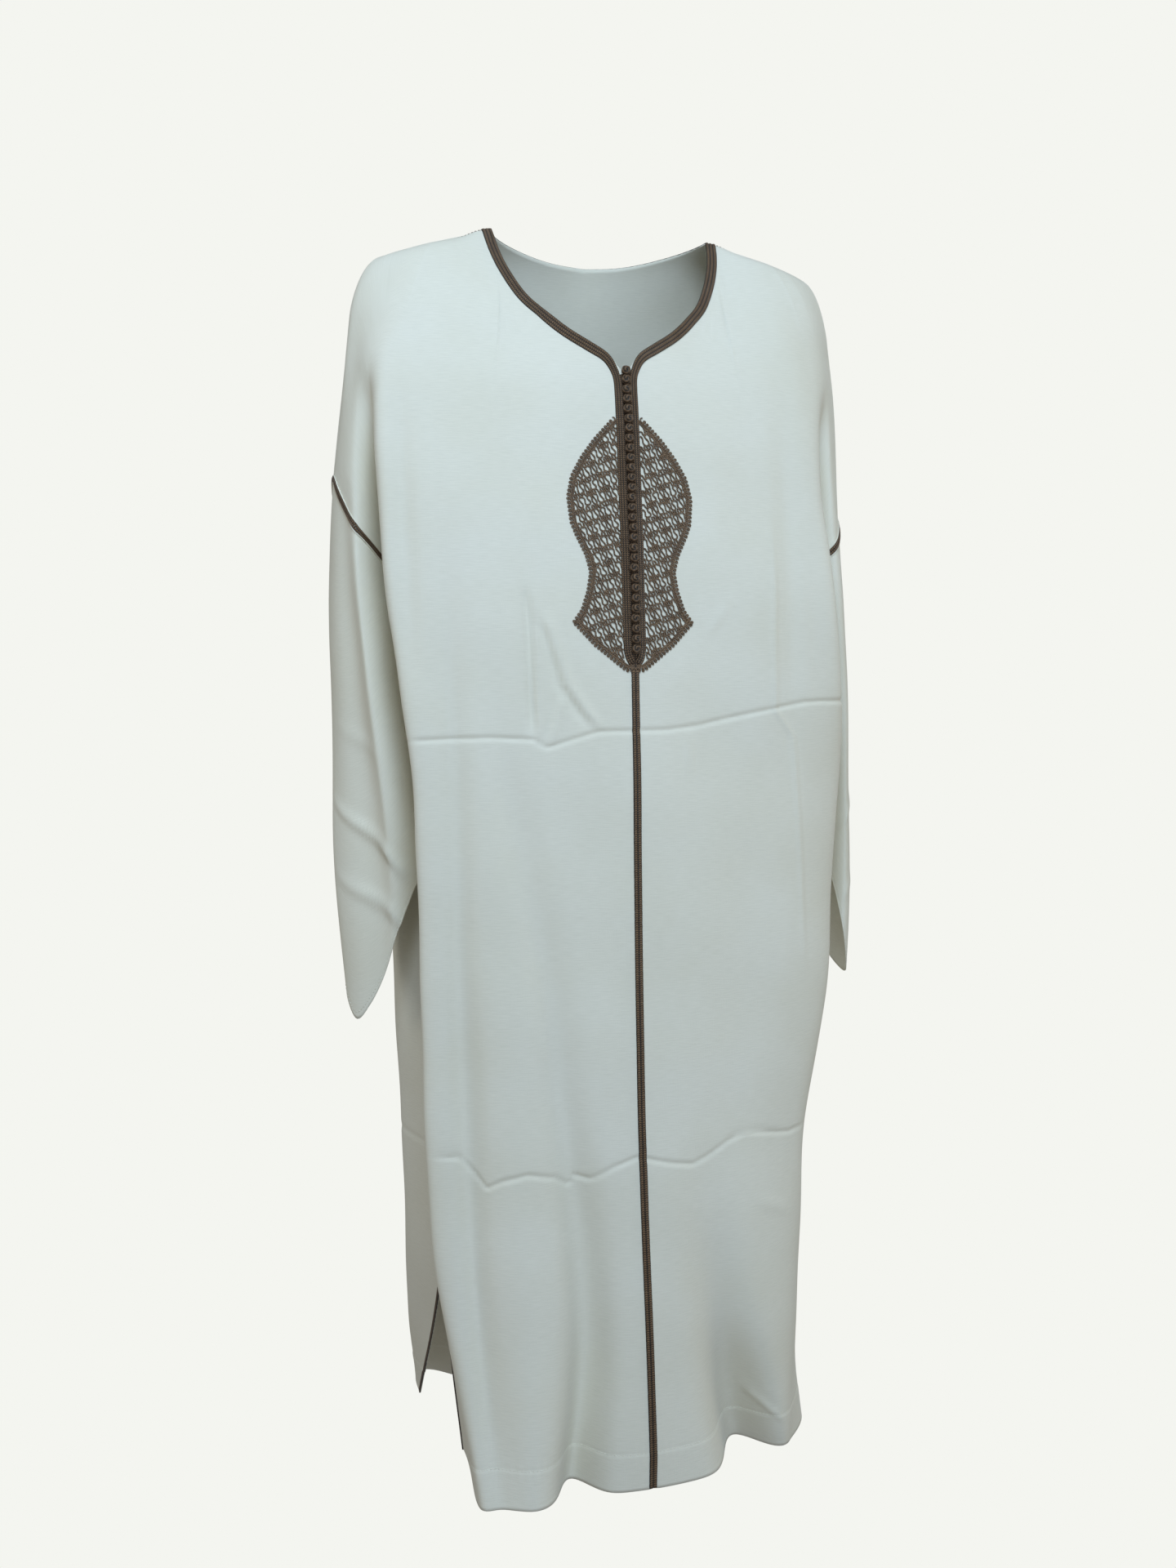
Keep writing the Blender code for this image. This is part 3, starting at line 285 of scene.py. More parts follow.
# The shoulder's end above the underarm, and the sleeve below it: the inner fold, the front bulge, the
# outer fold and the back bulge
ARM = {
    RIGHT: table(
        "drop inner_x inner_y bulge_x bulge_y fold_x fold_y rear_x rear_y",
        (0.11, 0.257, 0.002, 0.277, -0.021, 0.288, 0.000, 0.277, 0.028),
        (0.17, 0.272, 0.004, 0.283, -0.022, 0.293, 0.004, 0.283, 0.036),
        (0.23, 0.262, 0.005, 0.286, -0.028, 0.298, 0.008, 0.286, 0.045),
        (0.30, 0.250, 0.005, 0.288, -0.035, 0.304, 0.014, 0.288, 0.056),
        (0.36, 0.236, 0.005, 0.288, -0.040, 0.306, 0.018, 0.288, 0.061),
        (0.42, 0.2242, 0.005, 0.285, -0.044, 0.307, 0.020, 0.285, 0.062),
        (0.50, 0.226, 0.000, 0.278, -0.050, 0.305, 0.020, 0.280, 0.055),
        (0.60, 0.219, -0.010, 0.266, -0.052, 0.304, 0.018, 0.270, 0.048),
        (0.68, 0.212, -0.020, 0.258, -0.050, 0.303, 0.015, 0.262, 0.044),
        (0.78, 0.196, -0.020, 0.250, -0.042, 0.297, 0.010, 0.252, 0.038),
        (0.89, 0.186, -0.015, 0.245, -0.030, 0.287, 0.005, 0.246, 0.030),
    ),
    LEFT: table(
        "drop inner_x inner_y bulge_x bulge_y fold_x fold_y rear_x rear_y",
        (0.11, 0.250, 0.002, 0.268, -0.021, 0.280, 0.000, 0.270, 0.028),
        (0.17, 0.260, 0.004, 0.273, -0.024, 0.288, 0.004, 0.276, 0.036),
        (0.23, 0.252, 0.005, 0.273, -0.030, 0.294, 0.008, 0.280, 0.045),
        (0.30, 0.243, 0.005, 0.273, -0.034, 0.296, 0.010, 0.283, 0.058),
        (0.36, 0.232, 0.005, 0.275, -0.038, 0.297, 0.010, 0.285, 0.064),
        (0.42, 0.2242, 0.005, 0.278, -0.040, 0.299, 0.010, 0.287, 0.070),
        (0.50, 0.248, 0.006, 0.285, -0.036, 0.303, 0.010, 0.293, 0.080),
        (0.60, 0.274, 0.010, 0.291, -0.030, 0.308, 0.010, 0.297, 0.086),
        (0.70, 0.278, 0.014, 0.293, -0.026, 0.311, 0.012, 0.300, 0.086),
        (0.80, 0.276, 0.018, 0.292, -0.020, 0.312, 0.016, 0.300, 0.082),
        (0.89, 0.272, 0.022, 0.290, -0.014, 0.311, 0.020, 0.298, 0.076),
    ),
}

# The top of the shoulder, from the centre plane out to where it turns down
RIDGE = table(
    "column x z",
    (0, 0, 0),
    (0.18, 0.068, 0),
    (NECK_COLUMN, 0.128, 0),
    (0.6, 0.162, -0.0105),
    (0.8, 0.186, -0.0178),
    (1, 0.205, -0.0235),
    (1.5, 0.229, -0.0310),
    (2, 0.245, -0.0370),
)
# The cloth would arch this far over the back of the neck if it weren't cut away
BACK_NECK_ARCH = (0.02, 0.03)

NECK_FRONT = table(
    "x drop",
    (0, 0.170),
    (0.0083, 0.1625),
    (0.0130, 0.1545),
    (0.0320, 0.1400),
    (0.0620, 0.1200),
    (0.0850, 0.0985),
    (0.1015, 0.0800),
    (0.1120, 0.0600),
    (0.1200, 0.0400),
    (0.1255, 0.0180),
    (0.1280, 0),
)
NECK_BACK = table("x drop", (0, 0.022), (0.04, 0.020), (0.08, 0.0135), (0.11, 0.006), (0.128, 0))

# The seam that joins each sleeve to its dropped armhole, and the cuff's edge, round the sleeve
ARMHOLE = {
    RIGHT: table("column drop", (1, 0.42), (1.3, 0.362), (1.6, 0.330), (2, 0.2845), (2.4, 0.318), (3, 0.42)),
    LEFT: table("column drop", (1, 0.42), (1.3, 0.372), (1.6, 0.346), (2, 0.318), (2.4, 0.342), (3, 0.42)),
}
CUFF = {
    RIGHT: table(
        "column drop",
        (1, 0.678),
        (1.25, 0.735),
        (1.5, 0.800),
        (1.7, 0.862),
        (1.82, 0.880),
        (2, 0.856),
        (2.5, 0.800),
        (3, 0.678),
    ),
    LEFT: table("column drop", (1, 0.690), (1.5, 0.800), (1.8, 0.850), (2, 0.858), (2.5, 0.810), (3, 0.690)),
}

# The largest folds, as troughs down the panel: where each one runs, its depth and its half width.
# A depth below zero stands out.
FRONT_FOLDS = {
    "right_side": table(
        "drop x depth width",
        (0.18, -0.244, 0, 0.012),
        (0.28, -0.244, 0.006, 0.012),
        (0.42, -0.240, 0.006, 0.012),
        (0.52, -0.236, 0, 0.012),
    ),
    "right_long": table(
        "drop x depth width",
        (0.32, -0.198, 0, 0.014),
        (0.50, -0.196, 0.004, 0.014),
        (0.75, -0.190, 0.007, 0.014),
        (1.00, -0.180, 0.010, 0.014),
        (1.20, -0.168, 0.010, 0.013),
        (1.37, -0.152, 0.004, 0.012),
    ),
    "right_diagonal": table(
        "drop x depth width",
        (0.45, -0.162, 0, 0.022),
        (0.55, -0.150, 0.003, 0.022),
        (0.69, -0.1225, 0.006, 0.022),
        (0.83, -0.0953, 0.009, 0.022),
        (0.97, -0.0788, 0.013, 0.022),
        (1.11, -0.0600, 0.020, 0.022),
        (1.20, -0.0530, 0.028, 0.022),
        (1.37, -0.0640, 0.046, 0.021),
    ),
    "right_bulge": table(
        "drop x depth width",
        (0.80, -0.150, 0, 0.03),
        (1.10, -0.128, -0.008, 0.03),
        (1.25, -0.122, -0.013, 0.03),
        (1.37, -0.118, -0.019, 0.03),
    ),
    "left_hem": table(
        "drop x depth width",
        (1.00, 0.075, 0, 0.030),
        (1.12, 0.085, 0.008, 0.030),
        (1.205, 0.100, 0.022, 0.030),
        (1.30, 0.124, 0.052, 0.032),
        (1.37, 0.1435, 0.078, 0.032),
    ),
    "left_soft": table(
        "drop x depth width",
        (0.14, 0.188, 0, 0.016),
        (0.30, 0.188, 0.0035, 0.016),
        (0.65, 0.190, 0, 0.016),
    ),
}
BACK_FOLDS = {
    "back_right": table(
        "drop x depth width",
        (0.50, -0.100, 0, 0.026),
        (0.80, -0.118, 0.009, 0.026),
        (1.10, -0.128, 0.020, 0.028),
        (1.37, -0.124, 0.040, 0.030),
    ),
    "back_middle": table(
        "drop x depth width",
        (0.62, 0.020, 0, 0.026),
        (0.90, 0.006, 0.008, 0.026),
        (1.15, -0.008, 0.018, 0.028),
        (1.37, -0.016, 0.034, 0.028),
    ),
    "back_left": table(
        "drop x depth width",
        (0.45, 0.120, 0, 0.026),
        (0.80, 0.128, 0.008, 0.026),
        (1.10, 0.124, 0.018, 0.028),
        (1.37, 0.112, 0.038, 0.030),
    ),
}
SLEEVE_FOLD = table(
    "drop column depth width",
    (0.28, 1.68, 0, 0.13),
    (0.40, 1.67, 0.009, 0.13),
    (0.60, 1.65, 0.012, 0.13),
    (0.80, 1.60, 0.007, 0.13),
    (0.90, 1.58, 0.003, 0.13),
)

# The medallion's half outline, out from the centre line
MEDALLION = table(
    "drop half",
    (0.2200, 0.0160),
    (0.2454, 0.0395),
    (0.2646, 0.0538),
    (0.2863, 0.0662),
    (0.3100, 0.0717),
    (0.3385, 0.0690),
    (0.3516, 0.0640),
    (0.3734, 0.0537),
    (0.3910, 0.0492),
    (0.4110, 0.0526),
    (0.4314, 0.0595),
    (0.4455, 0.0699),
    (0.4715, 0.0457),
    (0.4907, 0.0215),
    (0.4995, 0.0100),
)



def pair(source, name, at):
    return np.array([read(source, name + "_x", at), read(source, name + "_y", at)])


def between(start, end, share):
    return start + (end - start) * share


@lru_cache(maxsize=None)
def body_keys(side, drop):
    """The body's plan at one height, as (column, point) keys on that side, x out from the centre."""
    front = np.array([0.0, read(CENTRE, "front_y", drop)])
    back = np.array([0.0, read(CENTRE, "back_y", drop)])
    edge, lobe = pair(BODY[side], "edge", drop), pair(BODY[side], "lobe", drop)
    near, far = pair(BODY[side], "side", drop), pair(BODY[side], "rear", drop)
    if -UNDERARM <= drop <= -SLIT_TOP:
        far = near.copy()
    ease = UNDERARM_EASE * max(0.0, 1 - abs(drop + UNDERARM) / UNDERARM_TACK)
    near[1], far[1] = near[1] - ease, far[1] + ease
    keys = {0.0: front, 0.8: edge, 1.0: near, 3.0: far, 3.2: lobe, 4.0: back}
    rounding = read(CENTRE, "rounding", drop)
    for column, centre, outer, flat in ((0.3, front, edge, rounding), (3.7, back, lobe, BACK_ROUNDING)):
        keys[column] = np.array([0.5 * outer[0], between(centre[1], outer[1], flat)])
    corner = CORNER_SHARE[side]
    for column, centre, outer in ((0.6, front, edge), (3.4, back, lobe)):
        keys[column] = np.array([corner * outer[0], between(centre[1], outer[1], 0.55)])
    keys[-0.3], keys[4.3] = keys[0.3] * (-1, 1), keys[3.7] * (-1, 1)
    return keys


@lru_cache(maxsize=None)
def arm_keys(side, drop):
    inner = pair(ARM[side], "inner", drop)
    bulge, fold, rear = (pair(ARM[side], name, drop) for name in ("bulge", "fold", "rear"))
    return {0.5: rear, 1.0: inner, 1.5: bulge, 2.0: fold, 2.5: rear, 3.0: inner, 3.5: bulge}


def plan_keys(side, column, drop, sleeve):
    """The keys that a column's layer passes through: the whole loop above the underarm, and the sleeve,
    the front or the back below it. There the front and the back pass straight into each other."""
    if drop < -UNDERARM:
        arm = arm_keys(side, drop)
        keys = {**body_keys(side, drop), **{place: arm[place] for place in (1.5, 2.0, 2.5)}}
    elif sleeve:
        keys = arm_keys(side, drop)
    else:
        body = body_keys(side, drop)
        keys = {place: point for place, point in body.items() if (place <= 1) == (column <= 1)}
        if column <= 1:
            keys[1.2] = body[3.2]
        else:
            keys[2.6] = body[0.8]
    return sorted(keys.items(), key=lambda item: item[0])


def plan_point(side, column, drop, sleeve=False):
    """The layer's point in plan, before its folds, on a smooth curve through the keys."""
    keys = plan_keys(side, column, drop, sleeve)
    columns = [place for place, _ in keys]
    points = [point for _, point in keys]
    i = int(np.clip(np.searchsorted(columns, column) - 1, 1, len(keys) - 3))
    span = columns[i + 1] - columns[i]
    t = (column - columns[i]) / span
    chord = np.linalg.norm(points[i + 1] - points[i])

    def slope(k):
        value = (points[k + 1] - points[k - 1]) / (columns[k + 1] - columns[k - 1]) * span
        if columns[k] in (1.0, 3.0):
            value = value * min(1.0, 0.15 + abs(drop + UNDERARM) / 0.07)
        size = np.linalg.norm(value)
        return value * min(1.0, 1.25 * chord / max(size, 1e-9))

    start, end = slope(i), slope(i + 1)
    return (
        points[i] * (1 + 2 * t) * (1 - t) ** 2
        + start * t * (1 - t) ** 2
        + points[i + 1] * t * t * (3 - 2 * t)
        + end * t * t * (t - 1)
    )


def trough(source, at, drop):
    """How deep a fold is at one place along its height."""
    away = (at - read(source, "column" if "column" in source else "x", drop)) / read(source, "width", drop)
    if drop <= source["at"][0] or (drop >= source["at"][-1] and source["depth"][-1] == 0):
        return 0.0
    return read(source, "depth", drop) * math.exp(-away * away)


def layer_point(side, column, z, sleeve=False):
    """The cloth's outer surface at one column and height, below the shoulder's curve."""
    drop = -z
    out, y = plan_point(side, column, drop, sleeve)
    x = side * out
    if sleeve or 1 < column < 3:
        if side == RIGHT:
            depth = trough(SLEEVE_FOLD, column, drop)
            x, y = x + 0.75 * depth, y + 0.66 * depth
        return np.array([x, y, z])
    x += read(CENTRE, "swing", drop) * max(0.0, 1 - min(column, 4 - column) / 0.8)
    shallow = min(1.0, (1 - min(column, 4 - column)) / 0.2)
    folds, inward = (FRONT_FOLDS, 1) if column <= 1 else (BACK_FOLDS, -1)
    y += inward * shallow * sum(trough(fold, x, drop) for fold in folds.values())
    return np.array([x, y, z])


def ridge_point(side, column):
    """The top of the shoulder over a column. Over the neck it only guides the cloth towards its cut."""
    near = min(column, 4 - column)
    x, y, z = side * read(RIDGE, "x", near), 0.0, read(RIDGE, "z", near)
    if column > 2 and near < NECK_COLUMN:
        share = (1 - near / NECK_COLUMN) ** 2
        y, z = y + BACK_NECK_ARCH[0] * share, z + BACK_NECK_ARCH[1] * share
    return np.array([x, y, z])


def cloth(side, column, height, sleeve=False):
    """The cloth's outer surface. Past VAULT_FOOT the height runs over the shoulder's curve to its ridge."""
    if height <= VAULT_FOOT:
        return layer_point(side, column, height, sleeve)
    turn = math.pi / 2 * (1 - (height - VAULT_FOOT) / VAULT_RISE)
    foot, below = (layer_point(side, column, VAULT_FOOT - step, sleeve) for step in (0, 0.01))
    top = ridge_point(side, column)
    z = between(VAULT_FOOT, top[2], math.cos(turn))
    lean = (foot - below)[:2] / 0.01 * (z - VAULT_FOOT) * math.sin(turn) ** 2
    lean[0] *= min(1.0, max(0.0, (1 - abs(column - 2)) / 0.6 + 1))
    # beside the neck the front is drawn straight from the shoulder to the chest, and further out it rounds
    tight = NECK_TIGHTNESS * min(1.0, max(0.0, (0.8 - column) / 0.4))
    out = between(math.sin(turn), 1 - math.cos(turn), tight)
    plan = top[:2] + (foot[:2] - top[:2]) * out + lean * (1 - tight)
    return np.array([plan[0], plan[1], z])


def neck_height(side, column):
    """The height coordinate at which a column meets the neck's cut, or the ridge beside the neck."""
    near = min(column, 4 - column)
    if near >= NECK_COLUMN:
        return RIDGE_HEIGHT
    cut = NECK_FRONT if column < 2 else NECK_BACK
    low, high = NECK_SEARCH_FOOT, RIDGE_HEIGHT
    for _ in range(40):
        middle = (low + high) / 2
        x, _, z = cloth(side, column, middle)
        low, high = (middle, high) if z < -read(cut, "drop", abs(x)) else (low, middle)
    return low


def front_place(side, x, z):
    """The front's surface at a distance x out from the centre line, by stepping the column to it."""
    low, high = 0.0, 0.6
    shift = layer_point(side, 0.0, z)[0]
    for _ in range(30):
        middle = (low + high) / 2
        reached = abs(layer_point(side, middle, z)[0] - shift)
        low, high = (middle, high) if reached < x else (low, middle)
    return layer_point(side, low, z)


def joined(*parts):
    """Number runs end to end, each one starting where the last one stopped."""
    runs = [np.linspace(*parts[0])] + [np.linspace(*part)[1:] for part in parts[1:]]
    return np.concatenate(runs)


FRONT_COLUMNS = joined((0, 0.06, 13), (0.06, NECK_COLUMN, 30), (NECK_COLUMN, 1, 62), (1, 2, 26))
BACK_COLUMNS = joined((2, 3, 21), (3, 4 - NECK_COLUMN, 36), (4 - NECK_COLUMN, 3.94, 16), (3.94, 4, 4))
SLEEVE_COLUMNS = joined((1, 3, 97))


def crease(width, ridge, lean, fade, *line):
    """A crease: its width, how high its ridge stands, its lean, how soon it fades, and its line."""
    return {"width": width, "ridge": ridge, "lean": lean, "fade": fade, "line": np.array(line)}


# Creases that run across the panels, as drops read at x, and down them, as x read at drops
FRONT_ROW_CREASES = (
    crease(0.0027, -0.0018, 0.0011, 0.02, (-0.245, 0.572), (-0.195, 0.57), (-0.155, 0.569),
           (-0.111, 0.571), (-0.097, 0.58), (-0.069, 0.571), (-0.042, 0.563), (0.032, 0.562),
           (0.071, 0.558), (0.115, 0.549), (0.161, 0.541), (0.209, 0.533), (0.3, 0.531)),
    crease(0.003, -0.0016, 0.0012, 0.03, (-0.225, 1.007), (-0.188, 1.01), (-0.173, 1.028),
           (-0.163, 1.042), (-0.148, 1.034), (-0.121, 1.028), (-0.09, 1.034), (-0.073, 1.045),
           (-0.069, 1.034), (-0.052, 1.038), (-0.029, 1.025), (-0.002, 1.016), (0.017, 1.021),
           (0.037, 1.026), (0.062, 1.03), (0.082, 1.023), (0.107, 1.01), (0.129, 1.004), (0.191, 1.014),
           (0.225, 1.011)),
    crease(0.006, 0.0012, -0.0008, 0.03, (0.13, 1.078), (0.205, 1.105)),
    crease(0.006, 0.0014, -0.001, 0.02, (0.128, 1.288), (0.192, 1.344)),
    crease(0.007, 0.0014, -0.0008, 0.02, (0.08, 0.466), (0.122, 0.412)),
)
FRONT_COLUMN_CREASES = (
    crease(0.0052, -0.0022, 0.0064, 0.03, (0.4, -0.116), (0.45, -0.112), (0.575, -0.109)),
    crease(0.0046, 0.001, 0.0036, 0.02, (0.515, -0.08), (0.582, -0.097)),
    crease(0.0068, 0.0006, 0.0072, 0.025, (0.43, -0.104), (0.513, -0.078), (0.566, -0.041)),
    crease(0.005, 0.0013, -0.001, 0.03, (0.556, 0.064), (0.62, 0.063)),
    crease(0.0042, 0.0012, -0.0012, 0.12, (0.3, 0.171), (0.46, 0.169), (0.541, 0.17), (0.569, 0.193),
           (0.596, 0.197), (0.718, 0.205), (0.86, 0.209)),
    crease(0.016, 0.0012, 0, 0.2, (0.3, -0.155), (0.8, -0.165), (1, -0.16)),
    crease(0.012, 0.001, 0, 0.1, (1.02, -0.088), (1.2, -0.094), (1.36, -0.1)),
    crease(0.014, -0.0009, 0, 0.1, (1.03, 0.02), (1.2, 0.03), (1.36, 0.04)),
)
BACK_ROW_CREASES = (
    crease(0.0027, -0.0013, 0.0007, 0.02, (-0.25, 0.566), (-0.14, 0.56), (-0.05, 0.571), (0.03, 0.568),
           (0.12, 0.557), (0.26, 0.54)),
    crease(0.004, -0.0009, 0.0008, 0.03, (-0.24, 1.012), (-0.16, 1.028), (-0.08, 1.02), (0, 1.034),
           (0.09, 1.022), (0.24, 1.008)),
)
BACK_COLUMN_CREASES = (
    crease(0.0045, 0.0008, -0.0004, 0.1, (0.1, 0.004), (0.6, -0.003), (1.3, 0.006)),
    crease(0.006, 0.001, 0.0006, 0.04, (0.42, -0.092), (0.56, -0.07)),
    crease(0.006, 0.0009, -0.0006, 0.04, (0.46, 0.1), (0.56, 0.086)),
    crease(0.012, 0.0012, 0, 0.15, (0.6, 0.18), (1.1, 0.186)),
)
# Folds of the sleeves: columns read at drops, fading over a part of a column
SLEEVE_CREASES = {
    RIGHT: (
        crease(0.008, 0.0032, -0.003, 0.25, (0.64, 1.98), (0.685, 1.6), (0.722, 1.3), (0.745, 1.1)),
        crease(0.009, 0.0028, -0.0026, 0.25, (0.725, 1.95), (0.757, 1.55), (0.8, 1.15)),
        crease(0.01, 0.0016, -0.0012, 0.25, (0.56, 1.9), (0.59, 1.5)),
    ),
    LEFT: (
        crease(0.008, 0.0014, -0.001, 0.25, (0.64, 1.95), (0.69, 1.3)),
        crease(0.008, 0.0012, -0.0008, 0.25, (0.74, 1.95), (0.775, 1.3)),
    ),
}


def cubic(values, places, at):
    """Rows of values at new places, on a smooth curve through them."""
    slopes = np.gradient(values, places, axis=0, edge_order=2)
    i = np.clip(np.searchsorted(places, at, side="right") - 1, 0, len(places) - 2)
    shape = (-1,) + (1,) * (values.ndim - 1)
    span = (places[i + 1] - places[i]).reshape(shape)
    t = (at - places[i]).reshape(shape) / span
    return (
        values[i] * (1 + 2 * t) * (1 - t) ** 2
        + slopes[i] * span * t * (1 - t) ** 2
        + values[i + 1] * t * t * (3 - 2 * t)
        + slopes[i + 1] * span * t * t * (t - 1)
    )


def graded(start, end):
    """Heights from start down to end, closer together where the cloth is creased or hemmed."""
    heights = [start]
    while heights[-1] - end > ROW_STEP / 4:
        fine = any(low < -heights[-1] < high for low, high in FINE_BANDS)
        heights.append(max(end, heights[-1] - (FINE_ROW_STEP if fine else ROW_STEP)))
    heights[-1] = end
    return np.array(heights)


def guide_heights(foot):
    """The heights below the underarm at which the surface is worked out, before the rows between."""
    first = [UNDERARM - drop for drop in GUIDE_DROPS[:-1]]
    return np.array(first + list(np.linspace(UNDERARM - GUIDE_DROPS[-1], foot, LOWER_GUIDES)))


def upper_part(side, columns):
    """A panel's fine points above the underarm or the armhole, rows by columns."""
    guides = np.linspace(0, 1, UPPER_GUIDES)
    lines = []
    for column in columns:
        top = neck_height(side, column)
        foot = -read(ARMHOLE[side], "drop", column) if 1 < column < 3 else UNDERARM
        lines.append([cloth(side, column, between(top, foot, share)) for share in guides])
    return cubic(np.array(lines).transpose(1, 0, 2), guides, np.linspace(0, 1, UPPER_ROWS))


def lower_part(side, columns, foot):
    guides = guide_heights(foot)
    lines = [[cloth(side, column, z) for z in guides] for column in columns]
    return cubic(np.array(lines).transpose(1, 0, 2), -guides, -graded(UNDERARM, foot))[1:]


class Sheet:
    """A fine sheet of points in rows and columns, some of them missing, with its faces and normals."""

    def __init__(self, points, flip):
        self.grid = points
        self.present = ~np.isnan(points[..., 0])
        self.ids = np.full(self.present.shape, -1)
        self.ids[self.present] = np.arange(self.present.sum())
        a, b = self.ids[:-1, :-1], self.ids[:-1, 1:]
        c, d = self.ids[1:, 1:], self.ids[1:, :-1]
        quads = np.stack([a, d, c, b] if flip else [a, b, c, d], axis=-1).reshape(-1, 4)
        self.faces = quads[(quads >= 0).all(axis=1)]
        self.refresh(points[self.present])
        # UVs in metres: the plan's length along each row, and the length down each column
        flat = points * (1, 1, 0)
        across = np.cumsum(np.nan_to_num(np.linalg.norm(np.diff(flat, axis=1), axis=2)), axis=1)
        across = np.pad(across, ((0, 0), (1, 0)))
        down = np.cumsum(np.nan_to_num(np.linalg.norm(np.diff(points, axis=0), axis=2)), axis=0)
        down = np.pad(down, ((1, 0), (0, 0)))
        down -= down[min(UPPER_ROWS, len(down)) - 1]
        self.uv = np.stack([across, down], axis=-1)[self.present]

    def refresh(self, points):
        self.points = points
        corners = points[self.faces]
        normals = np.cross(corners[:, 2] - corners[:, 0], corners[:, 3] - corners[:, 1])
        normals /= np.maximum(np.linalg.norm(normals, axis=1), 1e-12)[:, None]
        self.normals = np.zeros_like(points)
        for k in range(4):
            np.add.at(self.normals, self.faces[:, k], normals)
        self.normals /= np.maximum(np.linalg.norm(self.normals, axis=1), 1e-12)[:, None]
        self.grid = np.full(self.grid.shape, np.nan)
        self.grid[self.present] = points

    def raise_by(self, heights):
        self.refresh(self.points + self.normals * heights[:, None])


def front_sheet(side):
    upper = upper_part(side, FRONT_COLUMNS)
    body = FRONT_COLUMNS[FRONT_COLUMNS <= 1]
    lower = np.full((len(graded(UNDERARM, FRONT_HEM)) - 1, len(FRONT_COLUMNS), 3), np.nan)
    lower[:, : len(body)] = lower_part(side, body, FRONT_HEM)
    return Sheet(np.vstack([upper, lower]), side == LEFT)


def back_sheet():
    halves = []
    for side in (RIGHT, LEFT):
        body = BACK_COLUMNS >= 3
        upper = upper_part(side, BACK_COLUMNS)
        lower = np.full((len(graded(UNDERARM, BACK_HEM)) - 1, len(BACK_COLUMNS), 3), np.nan)
        lower[:, body] = lower_part(side, BACK_COLUMNS[body], BACK_HEM)
        halves.append(np.vstack([upper, lower]))
    return Sheet(np.concatenate([halves[0], halves[1][:, -2::-1]], axis=1), False)


def sleeve_sheet(side):
    guides = np.linspace(0, 1, SLEEVE_GUIDES)
    lines = []
    for column in SLEEVE_COLUMNS:
        top, foot = -read(ARMHOLE[side], "drop", column), -read(CUFF[side], "drop", column)
        heights = [between(top, foot, share) for share in guides]
        line = [cloth(side, column, z, z <= UNDERARM) for z in heights]
        if column in (1.0, 3.0):
            line[0] = cloth(side, column, UNDERARM, True)
        lines.append(line)
    points = cubic(np.array(lines).transpose(1, 0, 2), guides, np.linspace(0, 1, SLEEVE_ROWS))
    return Sheet(points, side == LEFT)


def eased(share):
    """A share from 0 to 1 that starts and ends gently."""
    return share * share * (3 - 2 * share)


def crease_section(shape, away):
    """How far a crease stands out at a distance from its line: a ridge or a groove, and its lean."""
    share = away / shape["width"]
    return (shape["ridge"] + shape["lean"] * share) * np.exp(-share * share)


def crease_relief(shape, along, across):
    """A crease's relief, read along its line and faded towards its two ends."""
    line, fade = shape["line"], shape["fade"]
    away = across - np.interp(along, line[:, 0], line[:, 1])
    share = np.clip((along - line[0, 0]) / fade, 0, 1) * np.clip((line[-1, 0] - along) / fade, 0, 1)
    return eased(share) * crease_section(shape, away)


def relief(points, row_creases, column_creases):
    x, drop = points[:, 0], -points[:, 2]
    total = np.zeros(len(points))
    for shape in row_creases:
        total += crease_relief(shape, x, drop)
    for shape in column_creases:
        total += crease_relief(shape, drop, x)
    return total


def soft_waves(points, seed):
    """Shallow unevenness of the hanging cloth: a few long waves at fixed angles."""
    total = np.zeros(len(points))
    for i, (across, down, size) in enumerate(SOFT_WAVES):
        phase = seed + 1.7 * i
        bend = 0.8 * np.sin(points[:, 2] * 3.1 + phase)
        total += size * np.sin(points[:, 0] * across + points[:, 2] * down + bend + phase)
    return total


def hem_relief(points, edge_drop):
    """The turned hem stands a little proud, below a stitched groove."""
    above = (-points[:, 2]) - (edge_drop - HEM_DEPTH)
    step = HEM_RISE / (1 + np.exp(-above / 0.0008))
    groove = -HEM_GROOVE * np.exp(-((above / 0.0016) ** 2))
    pucker = 0.00016 * np.sin(points[:, 0] * 2 * np.pi / 0.0085) * np.exp(-((above / 0.010) ** 2))
    return step + groove + pucker


def edge_fade(sheet):
    """Nothing at the panel's own seams, so that neighbours still meet, and all of it further in."""
    column = np.broadcast_to(np.arange(sheet.grid.shape[1])[None, :], sheet.present.shape)
    width = sheet.present.sum(axis=1)[:, None]
    inward = np.minimum(column, width - 1 - column)
    return np.clip(inward / 4, 0, 1)[sheet.present]


def sleeve_relief(side, sheet):
    """Folds round a sleeve, and the stitched edge of its cuff."""
    rows, count = sheet.grid.shape[:2]
    column = np.broadcast_to(SLEEVE_COLUMNS[None, :], (rows, count)).ravel()
    drop = -sheet.points[:, 2]
    total = np.zeros(len(sheet.points))
    for shape in SLEEVE_CREASES[side]:
        line, fade = shape["line"], shape["fade"]
        away = drop - np.interp(column, line[::-1, 1], line[::-1, 0])
        share = np.clip((column - line[-1, 1]) / fade, 0, 1) * np.clip((line[0, 1] - column) / fade, 0, 1)
        total += share * crease_section(shape, away)
    edge = np.array([read(CUFF[side], "drop", place) for place in SLEEVE_COLUMNS])
    above = np.broadcast_to(edge[None, :], (rows, count)).ravel() - drop
    total -= 0.0004 * np.exp(-(((above - CUFF_STITCH) / 0.0016) ** 2))
    total += 0.0008 * np.sin(column * 5.0 + drop * 23.0) * np.clip((drop - 0.40) / 0.1, 0, 1)
    return total


